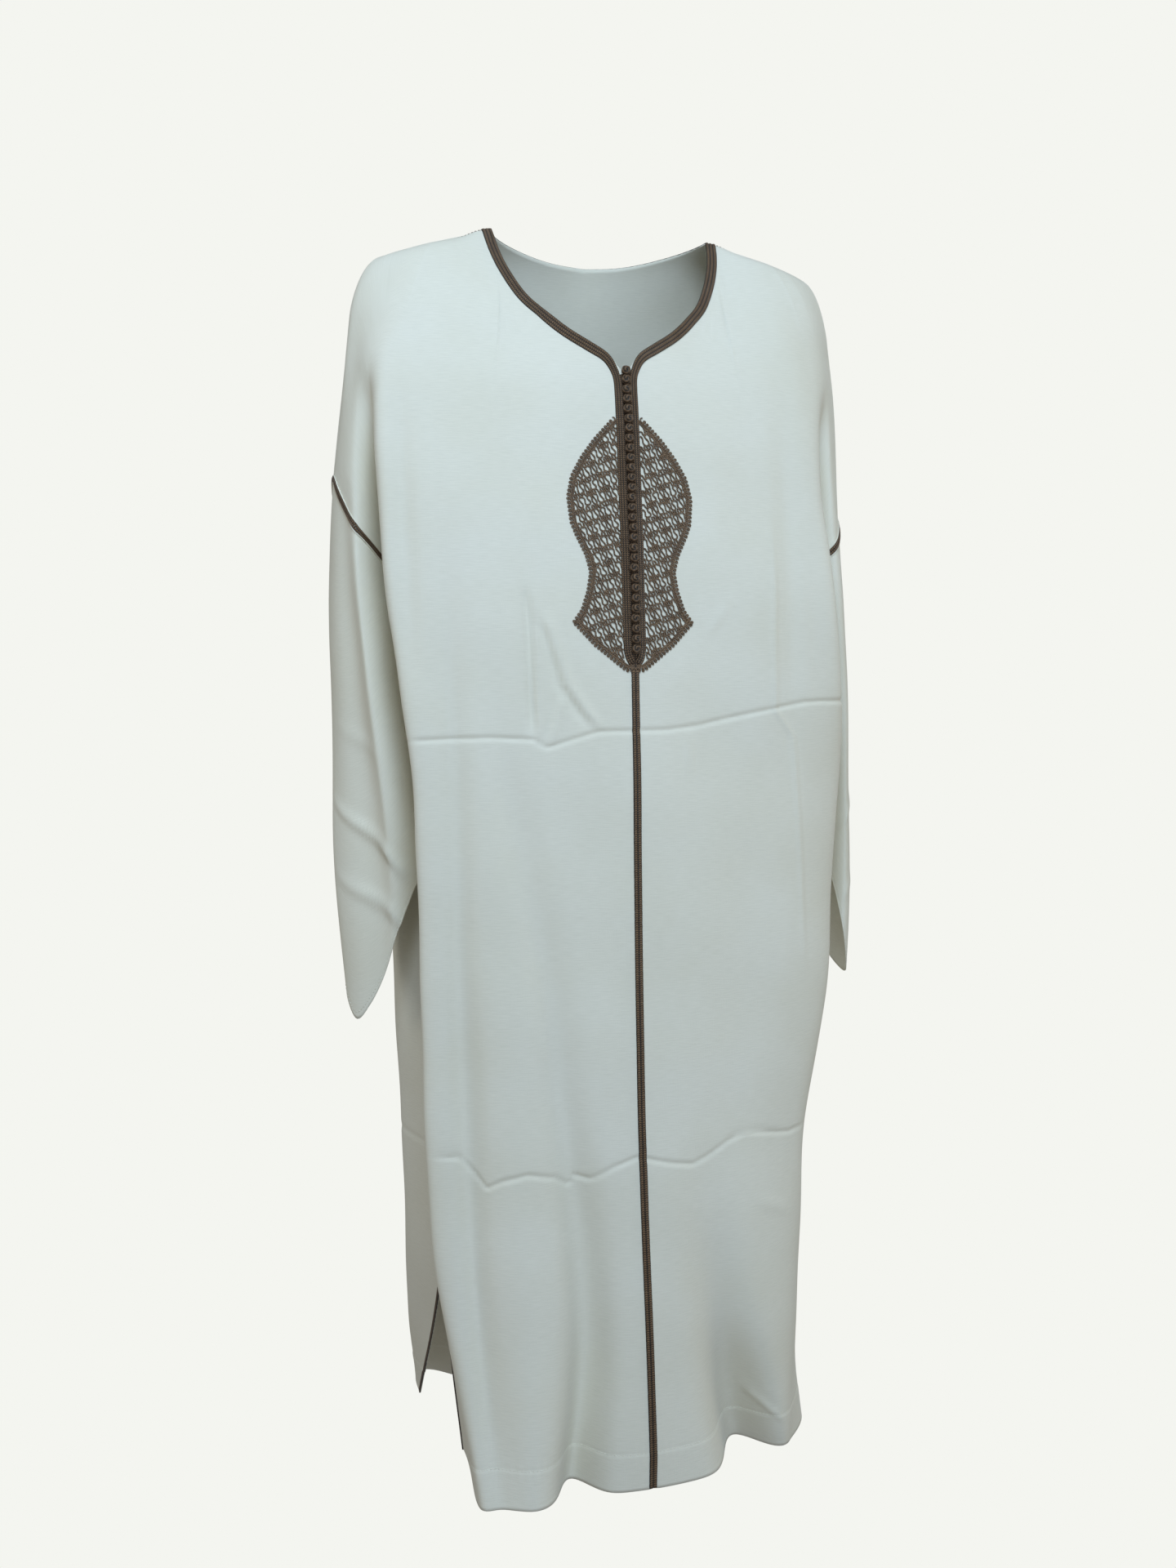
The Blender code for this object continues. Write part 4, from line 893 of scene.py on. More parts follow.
def make_mesh(name, points, faces, material, uv=None, shade=None, smooth=True):
    """A mesh object from arrays. uv and shade hold one value for each point."""
    mesh = bpy.data.meshes.new(name)
    mesh.from_pydata(np.asarray(points).tolist(), [], [list(map(int, face)) for face in faces])
    mesh.validate()
    if smooth:
        mesh.shade_smooth()
    if uv is not None:
        layer = mesh.uv_layers.new(name="metres")
        loops = np.zeros(len(mesh.loops), dtype=int)
        mesh.loops.foreach_get("vertex_index", loops)
        layer.data.foreach_set("uv", np.asarray(uv)[loops].ravel())
    if shade is not None:
        attribute = mesh.attributes.new("shade", "FLOAT", "POINT")
        attribute.data.foreach_set("value", np.asarray(shade, dtype=np.float32))
    mesh.materials.append(material)
    made = bpy.data.objects.new(name, mesh)
    bpy.context.scene.collection.objects.link(made)
    return made


def add_cloth(name, sheet, material, nodes):
    made = make_mesh(name, sheet.points, sheet.faces, material, sheet.uv)
    wall = made.modifiers.new("wall", "SOLIDIFY")
    wall.thickness = CLOTH_THICKNESS
    wall.offset = -1
    wall.use_even_offset = False
    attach(made, "root")
    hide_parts(*nodes)
    return made


def add_trim(name, parts, material, nodes):
    """One piece from several runs of points, faces, UVs and shades."""
    points, faces, uv, shade, first = [], [], [], [], 0
    for run in parts:
        points.append(run[0])
        faces += [[int(i) + first for i in face] for face in run[1]]
        uv.append(run[2])
        shade.append(run[3])
        first += len(run[0])
    made = make_mesh(name, np.vstack(points), faces, material, np.vstack(uv), np.concatenate(shade))
    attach(made, "root")
    if nodes:
        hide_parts(*nodes)
    return made


class Ground:
    """The fine outer faces of some sheets, to lay trimmings on."""

    def __init__(self, *sheets):
        points, faces, first = [], [], 0
        for sheet in sheets:
            points += sheet.points.tolist()
            faces += (sheet.faces + first).tolist()
            first += len(sheet.points)
        self.tree = BVHTree.FromPolygons(points, faces)

    def nearest(self, points):
        found = [self.tree.find_nearest(Vector(point)) for point in points]
        return np.array([hit[0] for hit in found]), np.array([hit[1] for hit in found])

    def front(self, places):
        """Where rays straight back through places, as x and z, meet the front, and the cloth's normals."""
        hits, normals = [], []
        for x, z in places:
            hit, normal, _, _ = self.tree.ray_cast(Vector((x, -0.6, z)), Vector((0, 1, 0)))
            if hit is None:
                hit, normal, _, _ = self.tree.find_nearest(Vector((x, -0.15, z)))
            hits.append(hit)
            normals.append(normal)
        return np.array(hits), np.array(normals)


def unit(vectors):
    return vectors / np.maximum(np.linalg.norm(vectors, axis=-1, keepdims=True), 1e-12)


def smoothed(values, passes):
    """Values evened out along their run, with the two ends kept."""
    for _ in range(passes):
        values = np.vstack([values[:1], (values[:-2] + values[1:-1] * 2 + values[2:]) / 4, values[-1:]])
    return values


def length_along(points):
    return np.concatenate([[0], np.cumsum(np.linalg.norm(np.diff(points, axis=0), axis=1))])


def resample(points, spacing):
    """Points along a line at about equal spacing, its two ends kept."""
    along = length_along(points)
    at = np.linspace(0, along[-1], max(2, round(along[-1] / spacing) + 1))
    return np.stack([np.interp(at, along, points[:, k]) for k in range(points.shape[1])], axis=1)


def across_line(ground, route, away):
    """The cloth's normals along a route, and the direction across it towards the away side."""
    normals = unit(smoothed(ground.nearest(route)[1], 12))
    across = unit(np.cross(np.gradient(route, axis=0), normals))
    across *= np.where((across * away).sum(axis=1) > 0, 1, -1)[:, None]
    return normals, unit(smoothed(across, 6))


def plait(ground, route, widths, away, ribs, height=BRAID_HEIGHT, start=0.0):
    """A ribbed plaited braid over the cloth. The route is the line at its start share across, and it
    widens to the away side: each rib is a chain of slanting strands, with painted shade in the grooves
    between."""
    along = length_along(route)
    widths = np.broadcast_to(widths, len(route))
    normals, across = across_line(ground, route, away)
    count = ribs * RIB_SAMPLES + 1
    shares = np.linspace(0, 1, count)
    top, shade = [], []
    for share in shares:
        place = route + across * (widths * (share + start))[:, None]
        foot = ground.nearest(place)[0]
        foot = place + normals * ((foot - place) * normals).sum(axis=1)[:, None]
        in_rib = share * ribs - min(int(share * ribs), ribs - 1)
        crown = math.sin(math.pi * in_rib) ** 0.6 if 0 < in_rib < 1 else 0.0
        chevron = (1 - abs(2 * in_rib - 1)) * STRAND_LEAN
        strand = 0.5 + 0.5 * np.sin(2 * np.pi * (along / STRAND_PITCH + chevron))
        rise = height * (GROOVE_SHARE + (1 - GROOVE_SHARE) * crown * (0.8 + 0.2 * strand))
        top.append(foot + normals * rise[:, None])
        # painted shade and highlight: the shade value is low in the grooves between the ribs and high on
        # their crowns, and zero on the braid's underside
        shade.append(np.full(len(route), 0.05 + 0.95 * crown))
    sunk = normals * (height * GROOVE_SHARE + TRIM_SINK)
    rings = np.stack(top + [top[-1] - sunk, top[0] - sunk], axis=1)
    shades = np.stack(shade + [np.zeros(len(route))] * 2, axis=1)
    size = count + 2
    spread = np.concatenate([shares, [1.0, 0.0]]) * ribs
    uv = np.stack(np.broadcast_arrays(along[:, None], spread[None, :]), axis=-1)
    return rings.reshape(-1, 3), ring_faces(len(route), size), uv.reshape(-1, 2), shades.ravel()


def ring_faces(rows, size):
    """Quads between neighbouring rings of equal size, and a cap on each end."""
    i, k = np.meshgrid(np.arange(rows - 1), np.arange(size), indexing="ij")
    i, k = i.ravel(), k.ravel()
    after = (k + 1) % size
    quads = np.stack([i * size + k, i * size + after, (i + 1) * size + after, (i + 1) * size + k], axis=1)
    last = (rows - 1) * size
    return quads.tolist() + [list(range(size))[::-1], [last + j for j in range(size)]]


def cord_tube(points, normals, radius, sides=6, lift=0.0):
    """A round cord along points on the cloth, resting on it."""
    points = np.asarray(points)
    along = length_along(points)
    ahead = unit(np.gradient(points, axis=0))
    across = unit(np.cross(ahead, normals))
    up = unit(np.cross(across, ahead))
    centre = points + normals * (radius * 0.8 + np.asarray(lift))[..., None]
    turns = np.arange(sides) * 2 * np.pi / sides
    rings = (
        centre[:, None, :]
        + radius * np.cos(turns)[None, :, None] * across[:, None, :]
        + radius * np.sin(turns)[None, :, None] * up[:, None, :]
    )
    uv = np.stack(np.broadcast_arrays(along[:, None], turns[None, :] * radius), axis=-1)
    # painted shade and highlight: the shade value is lowest on the cord's underside and highest on its top,
    # as if lit from above the cloth
    shade = np.broadcast_to(0.55 + 0.45 * np.sin(turns)[None, :], (len(points), sides))
    return rings.reshape(-1, 3), ring_faces(len(points), sides), uv.reshape(-1, 2), shade.ravel()


def neck_route(sheet, columns, start, end):
    """The neck's cut edge between two columns, from the sheet's top row."""
    wanted = (columns >= start - 1e-9) & (columns <= end + 1e-9)
    return sheet.grid[0][wanted]


def front_neck_plait(side, sheet, ground):
    """The braid from the shoulder point along the neck's edge, down the placket and round its foot."""
    edge = neck_route(sheet, FRONT_COLUMNS, PLACKET_COLUMN, NECK_COLUMN)[::-1]
    edge = edge[edge[:, 2] > NECK_BRAID_FOOT]
    down = [(side * PLACKET_INNER, z) for z in np.linspace(PLACKET_HEAD, PLACKET_FOOT, 60)]
    turn = np.radians(np.linspace(0, 89.5, 24)[1:])
    down += [(side * PLACKET_INNER * math.cos(a), PLACKET_FOOT - PLACKET_INNER * math.sin(a)) for a in turn]
    route = resample(np.vstack([edge, ground.front(down)[0]]), BRAID_STEP)
    route = resample(smoothed(route, NECK_SMOOTHING), BRAID_STEP)
    share = np.clip((NARROWING_TOP - route[:, 2]) / NARROWING_LENGTH, 0, 1)
    widths = NECK_BRAID_WIDTH + (PLACKET_BRAID_WIDTH - NECK_BRAID_WIDTH) * eased(share)
    away = np.tile([side * 1.0, 0, 0], (len(route), 1))
    away[route[:, 2] > -0.165] = (side * 1.0, 0, -1.0)
    away[route[:, 2] < PLACKET_FOOT] = (side * 0.3, 0, -1.0)
    return plait(ground, route, widths, away, 3, start=-0.06)


def placket_backing(ground):
    """The dark strip under the buttons, between the two placket braids."""
    places = [(0.0, z) for z in np.linspace(BACKING_TOP, MEDALLION_FOOT + BACKING_TUCK, 60)]
    route = resample(ground.front(places)[0], BRAID_STEP)
    width = 2 * (PLACKET_INNER + BACKING_TUCK)
    return plait(ground, route, width, (1, 0, 0), 4, BACKING_HEIGHT, start=-0.5)


def back_neck_plait(sheet, ground):
    row = sheet.grid[0]
    share = np.concatenate([BACK_COLUMNS, BACK_COLUMNS[-2::-1]])
    route = smoothed(resample(row[share >= 4 - NECK_COLUMN - 1e-9], BRAID_STEP), 10)
    away = np.stack([np.sign(route[:, 0]) * 0.4, np.ones(len(route)), np.full(len(route), -0.6)], axis=1)
    return plait(ground, route, NECK_BRAID_WIDTH, away, 3)


def centre_plait(ground):
    heights = np.linspace(MEDALLION_FOOT + 0.0035, FRONT_HEM + FRONT_BRAID_HEM_GAP, 160)
    shift = [front_place(RIGHT, 0.0001, z)[0] for z in heights[::8]]
    places = [(np.interp(-z, -heights[::8], shift), z) for z in heights]
    route = smoothed(resample(ground.front(places)[0], BRAID_STEP), 4)
    return plait(ground, route, FRONT_BRAID_WIDTH, (1, 0, 0), 2, start=-0.5)


def armhole_line(side, front, back):
    """The seam round the armhole, from the panels' lowest points between columns 1 and 3."""
    fore = front.grid[UPPER_ROWS - 1][FRONT_COLUMNS >= 1]
    outer = BACK_COLUMNS <= 3
    row = back.grid[UPPER_ROWS - 1]
    rear = row[: len(BACK_COLUMNS)][outer] if side == RIGHT else row[::-1][: len(BACK_COLUMNS)][outer]
    return np.vstack([fore, rear[1:]])


def slit_edge(sheet, column_index, head):
    """A panel's side edge from the slit's head down, and the line beside it."""
    edge, beside = sheet.grid[:, column_index[0]], sheet.grid[:, column_index[1]]
    wanted = edge[:, 2] <= head
    return edge[wanted], beside[wanted]


def slit_plait(sheet, column_index, width, ribs):
    edge, beside = slit_edge(sheet, column_index, SLIT_TOP)
    route = resample(edge, BRAID_STEP)
    inner = np.stack([np.interp(-route[:, 2], -edge[:, 2], (beside - edge)[:, k]) for k in range(3)], axis=1)
    return plait(Ground(sheet), route, width, inner, ribs, SLIT_TRIM_HEIGHT)


def armhole_runs(ground, line):
    """The braid over the armhole seam, and the cream piping along both of its edges."""
    away = (0, 0, -1)
    braid = plait(ground, line, ARMHOLE_BRAID_WIDTH, away, 2, start=-0.5)
    normals, across = across_line(ground, line, away)
    piping = []
    for way in (-1, 1):
        edge = line + across * way * (ARMHOLE_BRAID_WIDTH / 2 + PIPING_RADIUS * 0.7)
        piping.append(cord_tube(ground.nearest(edge)[0], normals, PIPING_RADIUS))
    return braid, piping


def medallion_half(drop):
    return np.interp(drop, MEDALLION["drop"], MEDALLION["half"])


def medallion_outline(side, inset):
    """The medallion's outline on one side, from its head down to its point, moved inward by inset."""
    drops = np.linspace(MEDALLION["drop"][0], MEDALLION["drop"][-1], 400)
    line = np.stack([medallion_half(drops), -drops], axis=1)
    line[-1, 0] = 0.0
    line = resample(line, 0.0008)
    ahead = unit(np.gradient(smoothed(line, 8), axis=0))
    inward = np.stack([ahead[:, 1], -ahead[:, 0]], axis=1)
    inward *= np.where(inward[:, 0] < 0, 1, -1)[:, None]
    return (line + inward * inset) * (side, 1), inward * (side, 1)


def laid_cord(ground, places, radius, lift=0.0, sides=6):
    """A cord through flat places, as x and z, laid on the front."""
    points, normals = ground.front(places)
    return cord_tube(points, unit(smoothed(normals, 3)), radius, sides, lift)


def looped_border(side, ground):
    """The medallion's raised edge: a cord that loops over itself along the outline."""
    line, inward = medallion_outline(side, LOOP_REACH)
    along = length_along(line)
    count = int(along[-1] / LOOP_PITCH)
    turns = np.linspace(0, count * 2 * np.pi, count * LOOP_SAMPLES)
    at = np.linspace(0.002, along[-1], len(turns))
    centre = np.stack([np.interp(at, along, line[:, k]) for k in (0, 1)], axis=1)
    out = -unit(np.stack([np.interp(at, along, inward[:, k]) for k in (0, 1)], axis=1))
    ahead = unit(np.gradient(centre, axis=0))
    places = centre + LOOP_RADIUS * (np.cos(turns)[:, None] * out - np.sin(turns)[:, None] * ahead)
    lift = LOOP_LIFT * (1 - np.cos(turns)) / 2
    return laid_cord(ground, places, BORDER_CORD_RADIUS, lift)


def meander(period, swing, count, samples):
    """A sine-generated curve in its own length units: its points along and across, period long each."""
    steps_in = np.linspace(0, count, count * samples + 1)
    angle = swing * np.sin(2 * np.pi * steps_in)
    x = np.concatenate([[0], np.cumsum((np.cos(angle[1:]) + np.cos(angle[:-1])) / 2)])
    y = np.concatenate([[0], np.cumsum((np.sin(angle[1:]) + np.sin(angle[:-1])) / 2)])
    scale = period * count / x[-1]
    y = y - (y.max() + y.min()) / 2
    return x * scale, y * scale


def inside_medallion(side, places):
    out, drop = side * places[:, 0], -places[:, 1]
    head, point = MEDALLION["drop"][0] + FILL_END, MEDALLION["drop"][-1] - FILL_END
    braid = PLACKET_INNER + PLACKET_BRAID_WIDTH - FILL_TUCK
    inner = np.where(drop < -PLACKET_FOOT + 0.004, braid, 0.0)
    turn = np.hypot(out, np.maximum(drop + PLACKET_FOOT, 0)) > braid
    reach = medallion_half(drop) - FILL_INSET
    return (out > inner) & turn & (out < reach) & (drop > head) & (drop < point)


def couched_fill(side, ground):
    """The medallion's fill: rows of cord in S curls, each tall row followed by a low one."""
    runs = []
    lean = np.array([math.cos(FILL_SLANT), math.sin(FILL_SLANT)])
    up = np.array([-math.sin(FILL_LEAN), math.cos(FILL_LEAN)])
    for row in range(-3, 20):
        for period, swing, rise, wobble in (TALL_CURLS, LOW_CURLS):
            x, y = meander(period, swing, int(FILL_REACH / period), FILL_SAMPLES)
            phase = row * 1.9 + rise * 300
            y = y * (1 + 0.12 * np.sin(x * 210 + phase) + 0.08 * np.sin(x * 507 - phase))
            x = x - FILL_REACH / 2 + 0.0007 * np.sin(x * 333 + 2 * phase)
            base = np.array([0.0, MEDALLION_TOP - row * FILL_ROW - rise])
            places = base + x[:, None] * lean + y[:, None] * up
            places[:, 1] += wobble * np.sin(x * 95 + phase * 1.3)
            kept = inside_medallion(side, places)
            edges = np.flatnonzero(np.diff(np.concatenate([[0], kept.astype(int), [0]])))
            for first, last in zip(edges[::2], edges[1::2]):
                if last - first > 8:
                    piece = resample(places[first:last], CORD_STEP)
                    lift = 0.0002 * (1 + np.sin(np.arange(len(piece)) * 0.9 + phase))
                    runs.append(laid_cord(ground, piece, FILL_CORD_RADIUS, lift))
    return runs


def medallion_parts(side, ground):
    runs = couched_fill(side, ground)
    runs.append(looped_border(side, ground))
    for inset, radius in INNER_CORDS:
        line, _ = medallion_outline(side, inset)
        line = line[(line[:, 1] < MEDALLION_TOP - 0.002) & (side * line[:, 0] > 0.0004)]
        runs.append(laid_cord(ground, resample(line, CORD_STEP), radius))
    return runs


def knot(place, normal, turn):
    """One knotted ball button: crossing strands over a ball, with a pit in the middle of its face."""
    rings, around = 21, 36
    polar = np.linspace(0, np.pi, rings)[1:-1]
    angle = np.arange(around) * 2 * np.pi / around
    polar, angle = np.meshgrid(polar, angle, indexing="ij")
    coil = np.abs(np.sin(angle + 3.6 * polar + turn)) ** 0.7
    crossing = 0.5 + 0.5 * np.cos(5 * angle - 2.0 * polar + turn)
    strand = coil * (0.75 + 0.25 * crossing)
    pit = np.exp(-((polar / 0.28) ** 2))
    radius = BUTTON_DIAMETER / 2 * (0.80 + 0.24 * strand - 0.20 * pit)
    # painted shade and highlight: darker between the strands and in the pit, lighter on the strand tops
    shade = np.clip((strand - 0.25) / 0.6, 0, 1) * (1 - 0.8 * pit)
    side_on = unit(np.cross(normal, [0.2, 0.1, 1.0]))
    up = np.cross(normal, side_on)
    direction = (
        np.cos(polar)[..., None] * normal
        + np.sin(polar)[..., None] * (np.cos(angle)[..., None] * side_on + np.sin(angle)[..., None] * up)
    )
    ball = (direction * radius[..., None]).reshape(-1, 3)
    pole = BUTTON_DIAMETER / 2
    points = np.vstack([ball, normal * pole * 0.66, -normal * pole]) + place
    rows, size = polar.shape
    faces = [quad[:1] + quad[:0:-1] for quad in ring_faces(rows, size)[:-2]]
    front_pole, back_pole, last = len(ball), len(ball) + 1, (rows - 1) * size
    faces += [[front_pole, j, (j + 1) % size] for j in range(size)]
    faces += [[back_pole, last + (j + 1) % size, last + j] for j in range(size)]
    uv = np.stack([angle.ravel() * pole, polar.ravel() * pole], axis=1)
    return points, faces, np.vstack([uv, [[0, 0]] * 2]), np.concatenate([shade.ravel(), [0.0, 0.0]])


def knotted_buttons(ground):
    parts = []
    for i in range(BUTTON_COUNT):
        z = BUTTON_TOP - BUTTON_PITCH * i
        if z < NECK_POINT:
            place, normal = (found[0] for found in ground.front([(0.0, z)]))
        else:
            # between the fronts' edges, above the point where they meet
            level = min(z, NECK_POINT + 0.004)
            x, y, _ = (front_place(RIGHT, 0.0002, level) + front_place(LEFT, 0.0002, level)) / 2
            place, normal = np.array([x, y, z]), np.array([0, -1.0, 0])
        normal = unit(normal * 0.5 + np.array([0, -0.5, 0]))
        parts.append(knot(place + normal * (BUTTON_DIAMETER / 2 + 0.0004), normal, 0.7 * math.sin(i * 2.3)))
    return parts


def stitches(route, normals, length, gap, radius):
    """A row of short raised stitches along a line on the cloth."""
    along = length_along(route)
    runs = []
    start = gap
    while start + length < along[-1]:
        at = start + length * np.linspace(0, 1, 4)
        points = np.stack([np.interp(at, along, route[:, k]) for k in range(3)], axis=1)
        facing = unit(np.stack([np.interp(at, along, normals[:, k]) for k in range(3)], axis=1))
        sink = -radius * 1.6 * (2 * np.linspace(0, 1, 4) - 1) ** 4
        runs.append(cord_tube(points, facing, radius, 4, sink))
        start += length + gap
    return runs


def new_material(name):
    material = bpy.data.materials.new(name)
    material.use_nodes = True
    nodes = material.node_tree.nodes
    return material, nodes, material.node_tree.links, nodes["Principled BSDF"]


def add_node(nodes, kind, **values):
    """A node with its own settings, and its inputs where the name is an input's."""
    made = nodes.new(kind)
    for name, value in values.items():
        if name in made.inputs:
            made.inputs[name].default_value = value
        else:
            setattr(made, name, value)
    return made


def scaled(nodes, links, source, scale):
    mapping = add_node(nodes, "ShaderNodeMapping", Scale=scale)
    links.new(source, mapping.inputs["Vector"])
    return mapping.outputs["Vector"]


def noise(nodes, links, source, scale, detail=2.0, rough=0.5):
    made = add_node(nodes, "ShaderNodeTexNoise", Scale=scale, Detail=detail, Roughness=rough)
    links.new(source, made.inputs["Vector"])
    return made.outputs["Fac"]


def ramp(nodes, links, source, low, high, start, end):
    """Two colours blended as the source goes from start to end."""
    made = nodes.new("ShaderNodeValToRGB")
    made.color_ramp.elements[0].position, made.color_ramp.elements[1].position = start, end
    made.color_ramp.elements[0].color = (*low, 1)
    made.color_ramp.elements[1].color = (*high, 1)
    links.new(source, made.inputs["Fac"])
    return made.outputs["Color"]


def mixed(nodes, links, first, second, share, blend="MIX"):
    made = nodes.new("ShaderNodeMix")
    made.data_type, made.blend_type = "RGBA", blend
    made.inputs["Factor"].default_value = share
    links.new(first, made.inputs["A"])
    links.new(second, made.inputs["B"])
    return made.outputs["Result"]


def bumped(nodes, links, height, distance, strength, below=None):
    made = add_node(nodes, "ShaderNodeBump", Distance=distance, Strength=strength)
    links.new(height, made.inputs["Height"])
    if below is not None:
        links.new(below, made.inputs["Normal"])
    return made.outputs["Normal"]


def wave(nodes, links, source, direction, distortion=0.0):
    made = add_node(nodes, "ShaderNodeTexWave", Scale=1.0, Distortion=distortion, Detail=1.0)
    made.wave_type, made.bands_direction = "BANDS", direction
    links.new(source, made.inputs["Vector"])
    return made.outputs["Fac"]


def cloth_material():
    """Cream crepe: a fine weave with slubs across, slight mottling, and a soft sheen."""
    material, nodes, links, shader = new_material("cream_crepe")
    place = nodes.new("ShaderNodeTexCoord")
    flat, solid = place.outputs["UV"], place.outputs["Object"]
    mottle = noise(nodes, links, solid, 9.0, 3.0)
    slub = noise(nodes, links, scaled(nodes, links, flat, (70, 900, 1)), 1.0, 2.0)
    warp = noise(nodes, links, scaled(nodes, links, flat, (1500, 60, 1)), 1.0, 2.0)
    tone = ramp(nodes, links, mottle, CREAM_DEEP, CREAM_PALE, 0.30, 0.72)
    thread = ramp(nodes, links, slub, (0.93, 0.93, 0.92), (1.0, 1.0, 1.0), 0.30, 0.65)
    colour = mixed(nodes, links, tone, thread, 0.8, "MULTIPLY")
    links.new(colour, shader.inputs["Base Color"])
    rough = add_node(nodes, "ShaderNodeMapRange")
    rough.inputs["To Min"].default_value, rough.inputs["To Max"].default_value = 0.66, 0.84
    links.new(mottle, rough.inputs["Value"])
    links.new(rough.outputs["Result"], shader.inputs["Roughness"])
    # the threads, about eight to a centimetre in pairs
    across = wave(nodes, links, scaled(nodes, links, flat, (WEAVE, WEAVE, 1)), "X", 0.6)
    down = wave(nodes, links, scaled(nodes, links, flat, (WEAVE, WEAVE, 1)), "Y", 0.6)
    weave = mixed(nodes, links, across, down, 0.5)
    normal = bumped(nodes, links, weave, 0.00012, 0.35)
    normal = bumped(nodes, links, slub, 0.0003, 0.35, normal)
    normal = bumped(nodes, links, warp, 0.0002, 0.25, normal)
    links.new(normal, shader.inputs["Normal"])
    shader.inputs["Sheen Weight"].default_value = 0.18
    shader.inputs["Sheen Roughness"].default_value = 0.45
    shader.inputs["Specular IOR Level"].default_value = 0.35
    return material


def computed(nodes, links, operation, first, second=None):
    """One step of arithmetic, on a socket and a number or another socket."""
    made = nodes.new("ShaderNodeMath")
    made.operation = operation
    links.new(first, made.inputs[0])
    if isinstance(second, (int, float)):
        made.inputs[1].default_value = second
    elif second is not None:
        links.new(second, made.inputs[1])
    return made.outputs[0]


def chevrons(nodes, links, flat):
    """The strands of the plait: slanted waves that turn back at the middle of each rib."""
    split = nodes.new("ShaderNodeSeparateXYZ")
    links.new(flat, split.inputs[0])
    inward = computed(nodes, links, "PINGPONG", split.outputs["Y"], 0.5)
    slant = computed(nodes, links, "MULTIPLY", inward, 2 * STRAND_LEAN)
    turns = computed(nodes, links, "MULTIPLY", split.outputs["X"], 1 / STRAND_PITCH)
    phase = computed(nodes, links, "ADD", turns, slant)
    swing = computed(nodes, links, "SINE", computed(nodes, links, "MULTIPLY", phase, 2 * math.pi))
    return computed(nodes, links, "MULTIPLY", computed(nodes, links, "ADD", swing, 1.0), 0.5)


def silk_material(name, groove, strand, rough, plaited=True):
    """Braid and cord of brown silk, with painted shade between the strands and a painted highlight along
    their tops.
    """
    material, nodes, links, shader = new_material(name)
    place = nodes.new("ShaderNodeTexCoord")
    flat, solid = place.outputs["UV"], place.outputs["Object"]
    shade = add_node(nodes, "ShaderNodeAttribute", attribute_name="shade")
    # the silk's brown, with painted shade in the grooves and a painted highlight on the crowns, read from the
    # shade attribute
    base = ramp(nodes, links, shade.outputs["Fac"], groove, strand, 0.15, 0.95)
    patches = noise(nodes, links, solid, 130.0, 2.0)
    drift = ramp(nodes, links, patches, (0.66, 0.64, 0.62), (1.0, 1.0, 1.0), 0.3, 0.7)
    fibre = noise(nodes, links, solid, 2600.0, 2.0)
    glint = ramp(nodes, links, fibre, (0.78, 0.78, 0.78), (1.25, 1.22, 1.18), 0.30, 0.72)
    colour = mixed(nodes, links, mixed(nodes, links, base, drift, 0.8, "MULTIPLY"), glint, 0.9, "MULTIPLY")
    normal = bumped(nodes, links, fibre, 0.0002, 0.4)
    if plaited:
        strands = chevrons(nodes, links, flat)
        # painted shade between the slanting strands and a painted highlight on them, from the same waves that
        # bump the normal
        dark = ramp(nodes, links, strands, (0.16, 0.15, 0.14), (1.15, 1.12, 1.08), 0.12, 0.95)
        colour = mixed(nodes, links, colour, dark, 0.9, "MULTIPLY")
        normal = bumped(nodes, links, strands, 0.0006, 0.7, normal)
    links.new(colour, shader.inputs["Base Color"])
    spread = add_node(nodes, "ShaderNodeMapRange")
    spread.inputs["To Min"].default_value, spread.inputs["To Max"].default_value = rough - 0.1, rough + 0.14
    links.new(fibre, spread.inputs["Value"])
    links.new(spread.outputs["Result"], shader.inputs["Roughness"])
    links.new(normal, shader.inputs["Normal"])
    shader.inputs["Sheen Weight"].default_value = 0.12
    shader.inputs["Sheen Roughness"].default_value = 0.35
    shader.inputs["Specular IOR Level"].default_value = 0.4
    return material


def cord_material():
    """Twisted brown cord: two plies that wind along it, with painted shade in the thin groove between them,
    painted highlights on the plies, and painted shade on the cord's underside.
    """
    material, nodes, links, shader = new_material("brown_cord")
    place = nodes.new("ShaderNodeTexCoord")
    flat, solid = place.outputs["UV"], place.outputs["Object"]
    turned = add_node(nodes, "ShaderNodeMapping", Scale=(TWIST, TWIST, 1), Rotation=(0, 0, math.radians(38)))
    links.new(flat, turned.inputs["Vector"])
    plies = wave(nodes, links, turned.outputs["Vector"], "X", 0.4)
    shade = add_node(nodes, "ShaderNodeAttribute", attribute_name="shade")
    # the cord's brown, with painted shade on its underside and a painted highlight on its top, read from the
    # shade attribute
    base = ramp(nodes, links, shade.outputs["Fac"], CORD_SHADED, CORD_LIT, 0.1, 1.0)
    # painted shade in the groove between the plies and a painted highlight on their crowns
    twist = ramp(nodes, links, plies, (0.30, 0.28, 0.27), (1.2, 1.18, 1.15), 0.1, 0.8)
    patches = noise(nodes, links, solid, 90.0, 2.0)
    drift = ramp(nodes, links, patches, (0.6, 0.58, 0.56), (1.0, 1.0, 1.0), 0.3, 0.7)
    colour = mixed(nodes, links, mixed(nodes, links, base, twist, 0.9, "MULTIPLY"), drift, 0.8, "MULTIPLY")
    links.new(colour, shader.inputs["Base Color"])
    links.new(bumped(nodes, links, plies, 0.0004, 0.6), shader.inputs["Normal"])
    shader.inputs["Roughness"].default_value = 0.5
    shader.inputs["Sheen Weight"].default_value = 0.2
    shader.inputs["Sheen Roughness"].default_value = 0.35
    return material


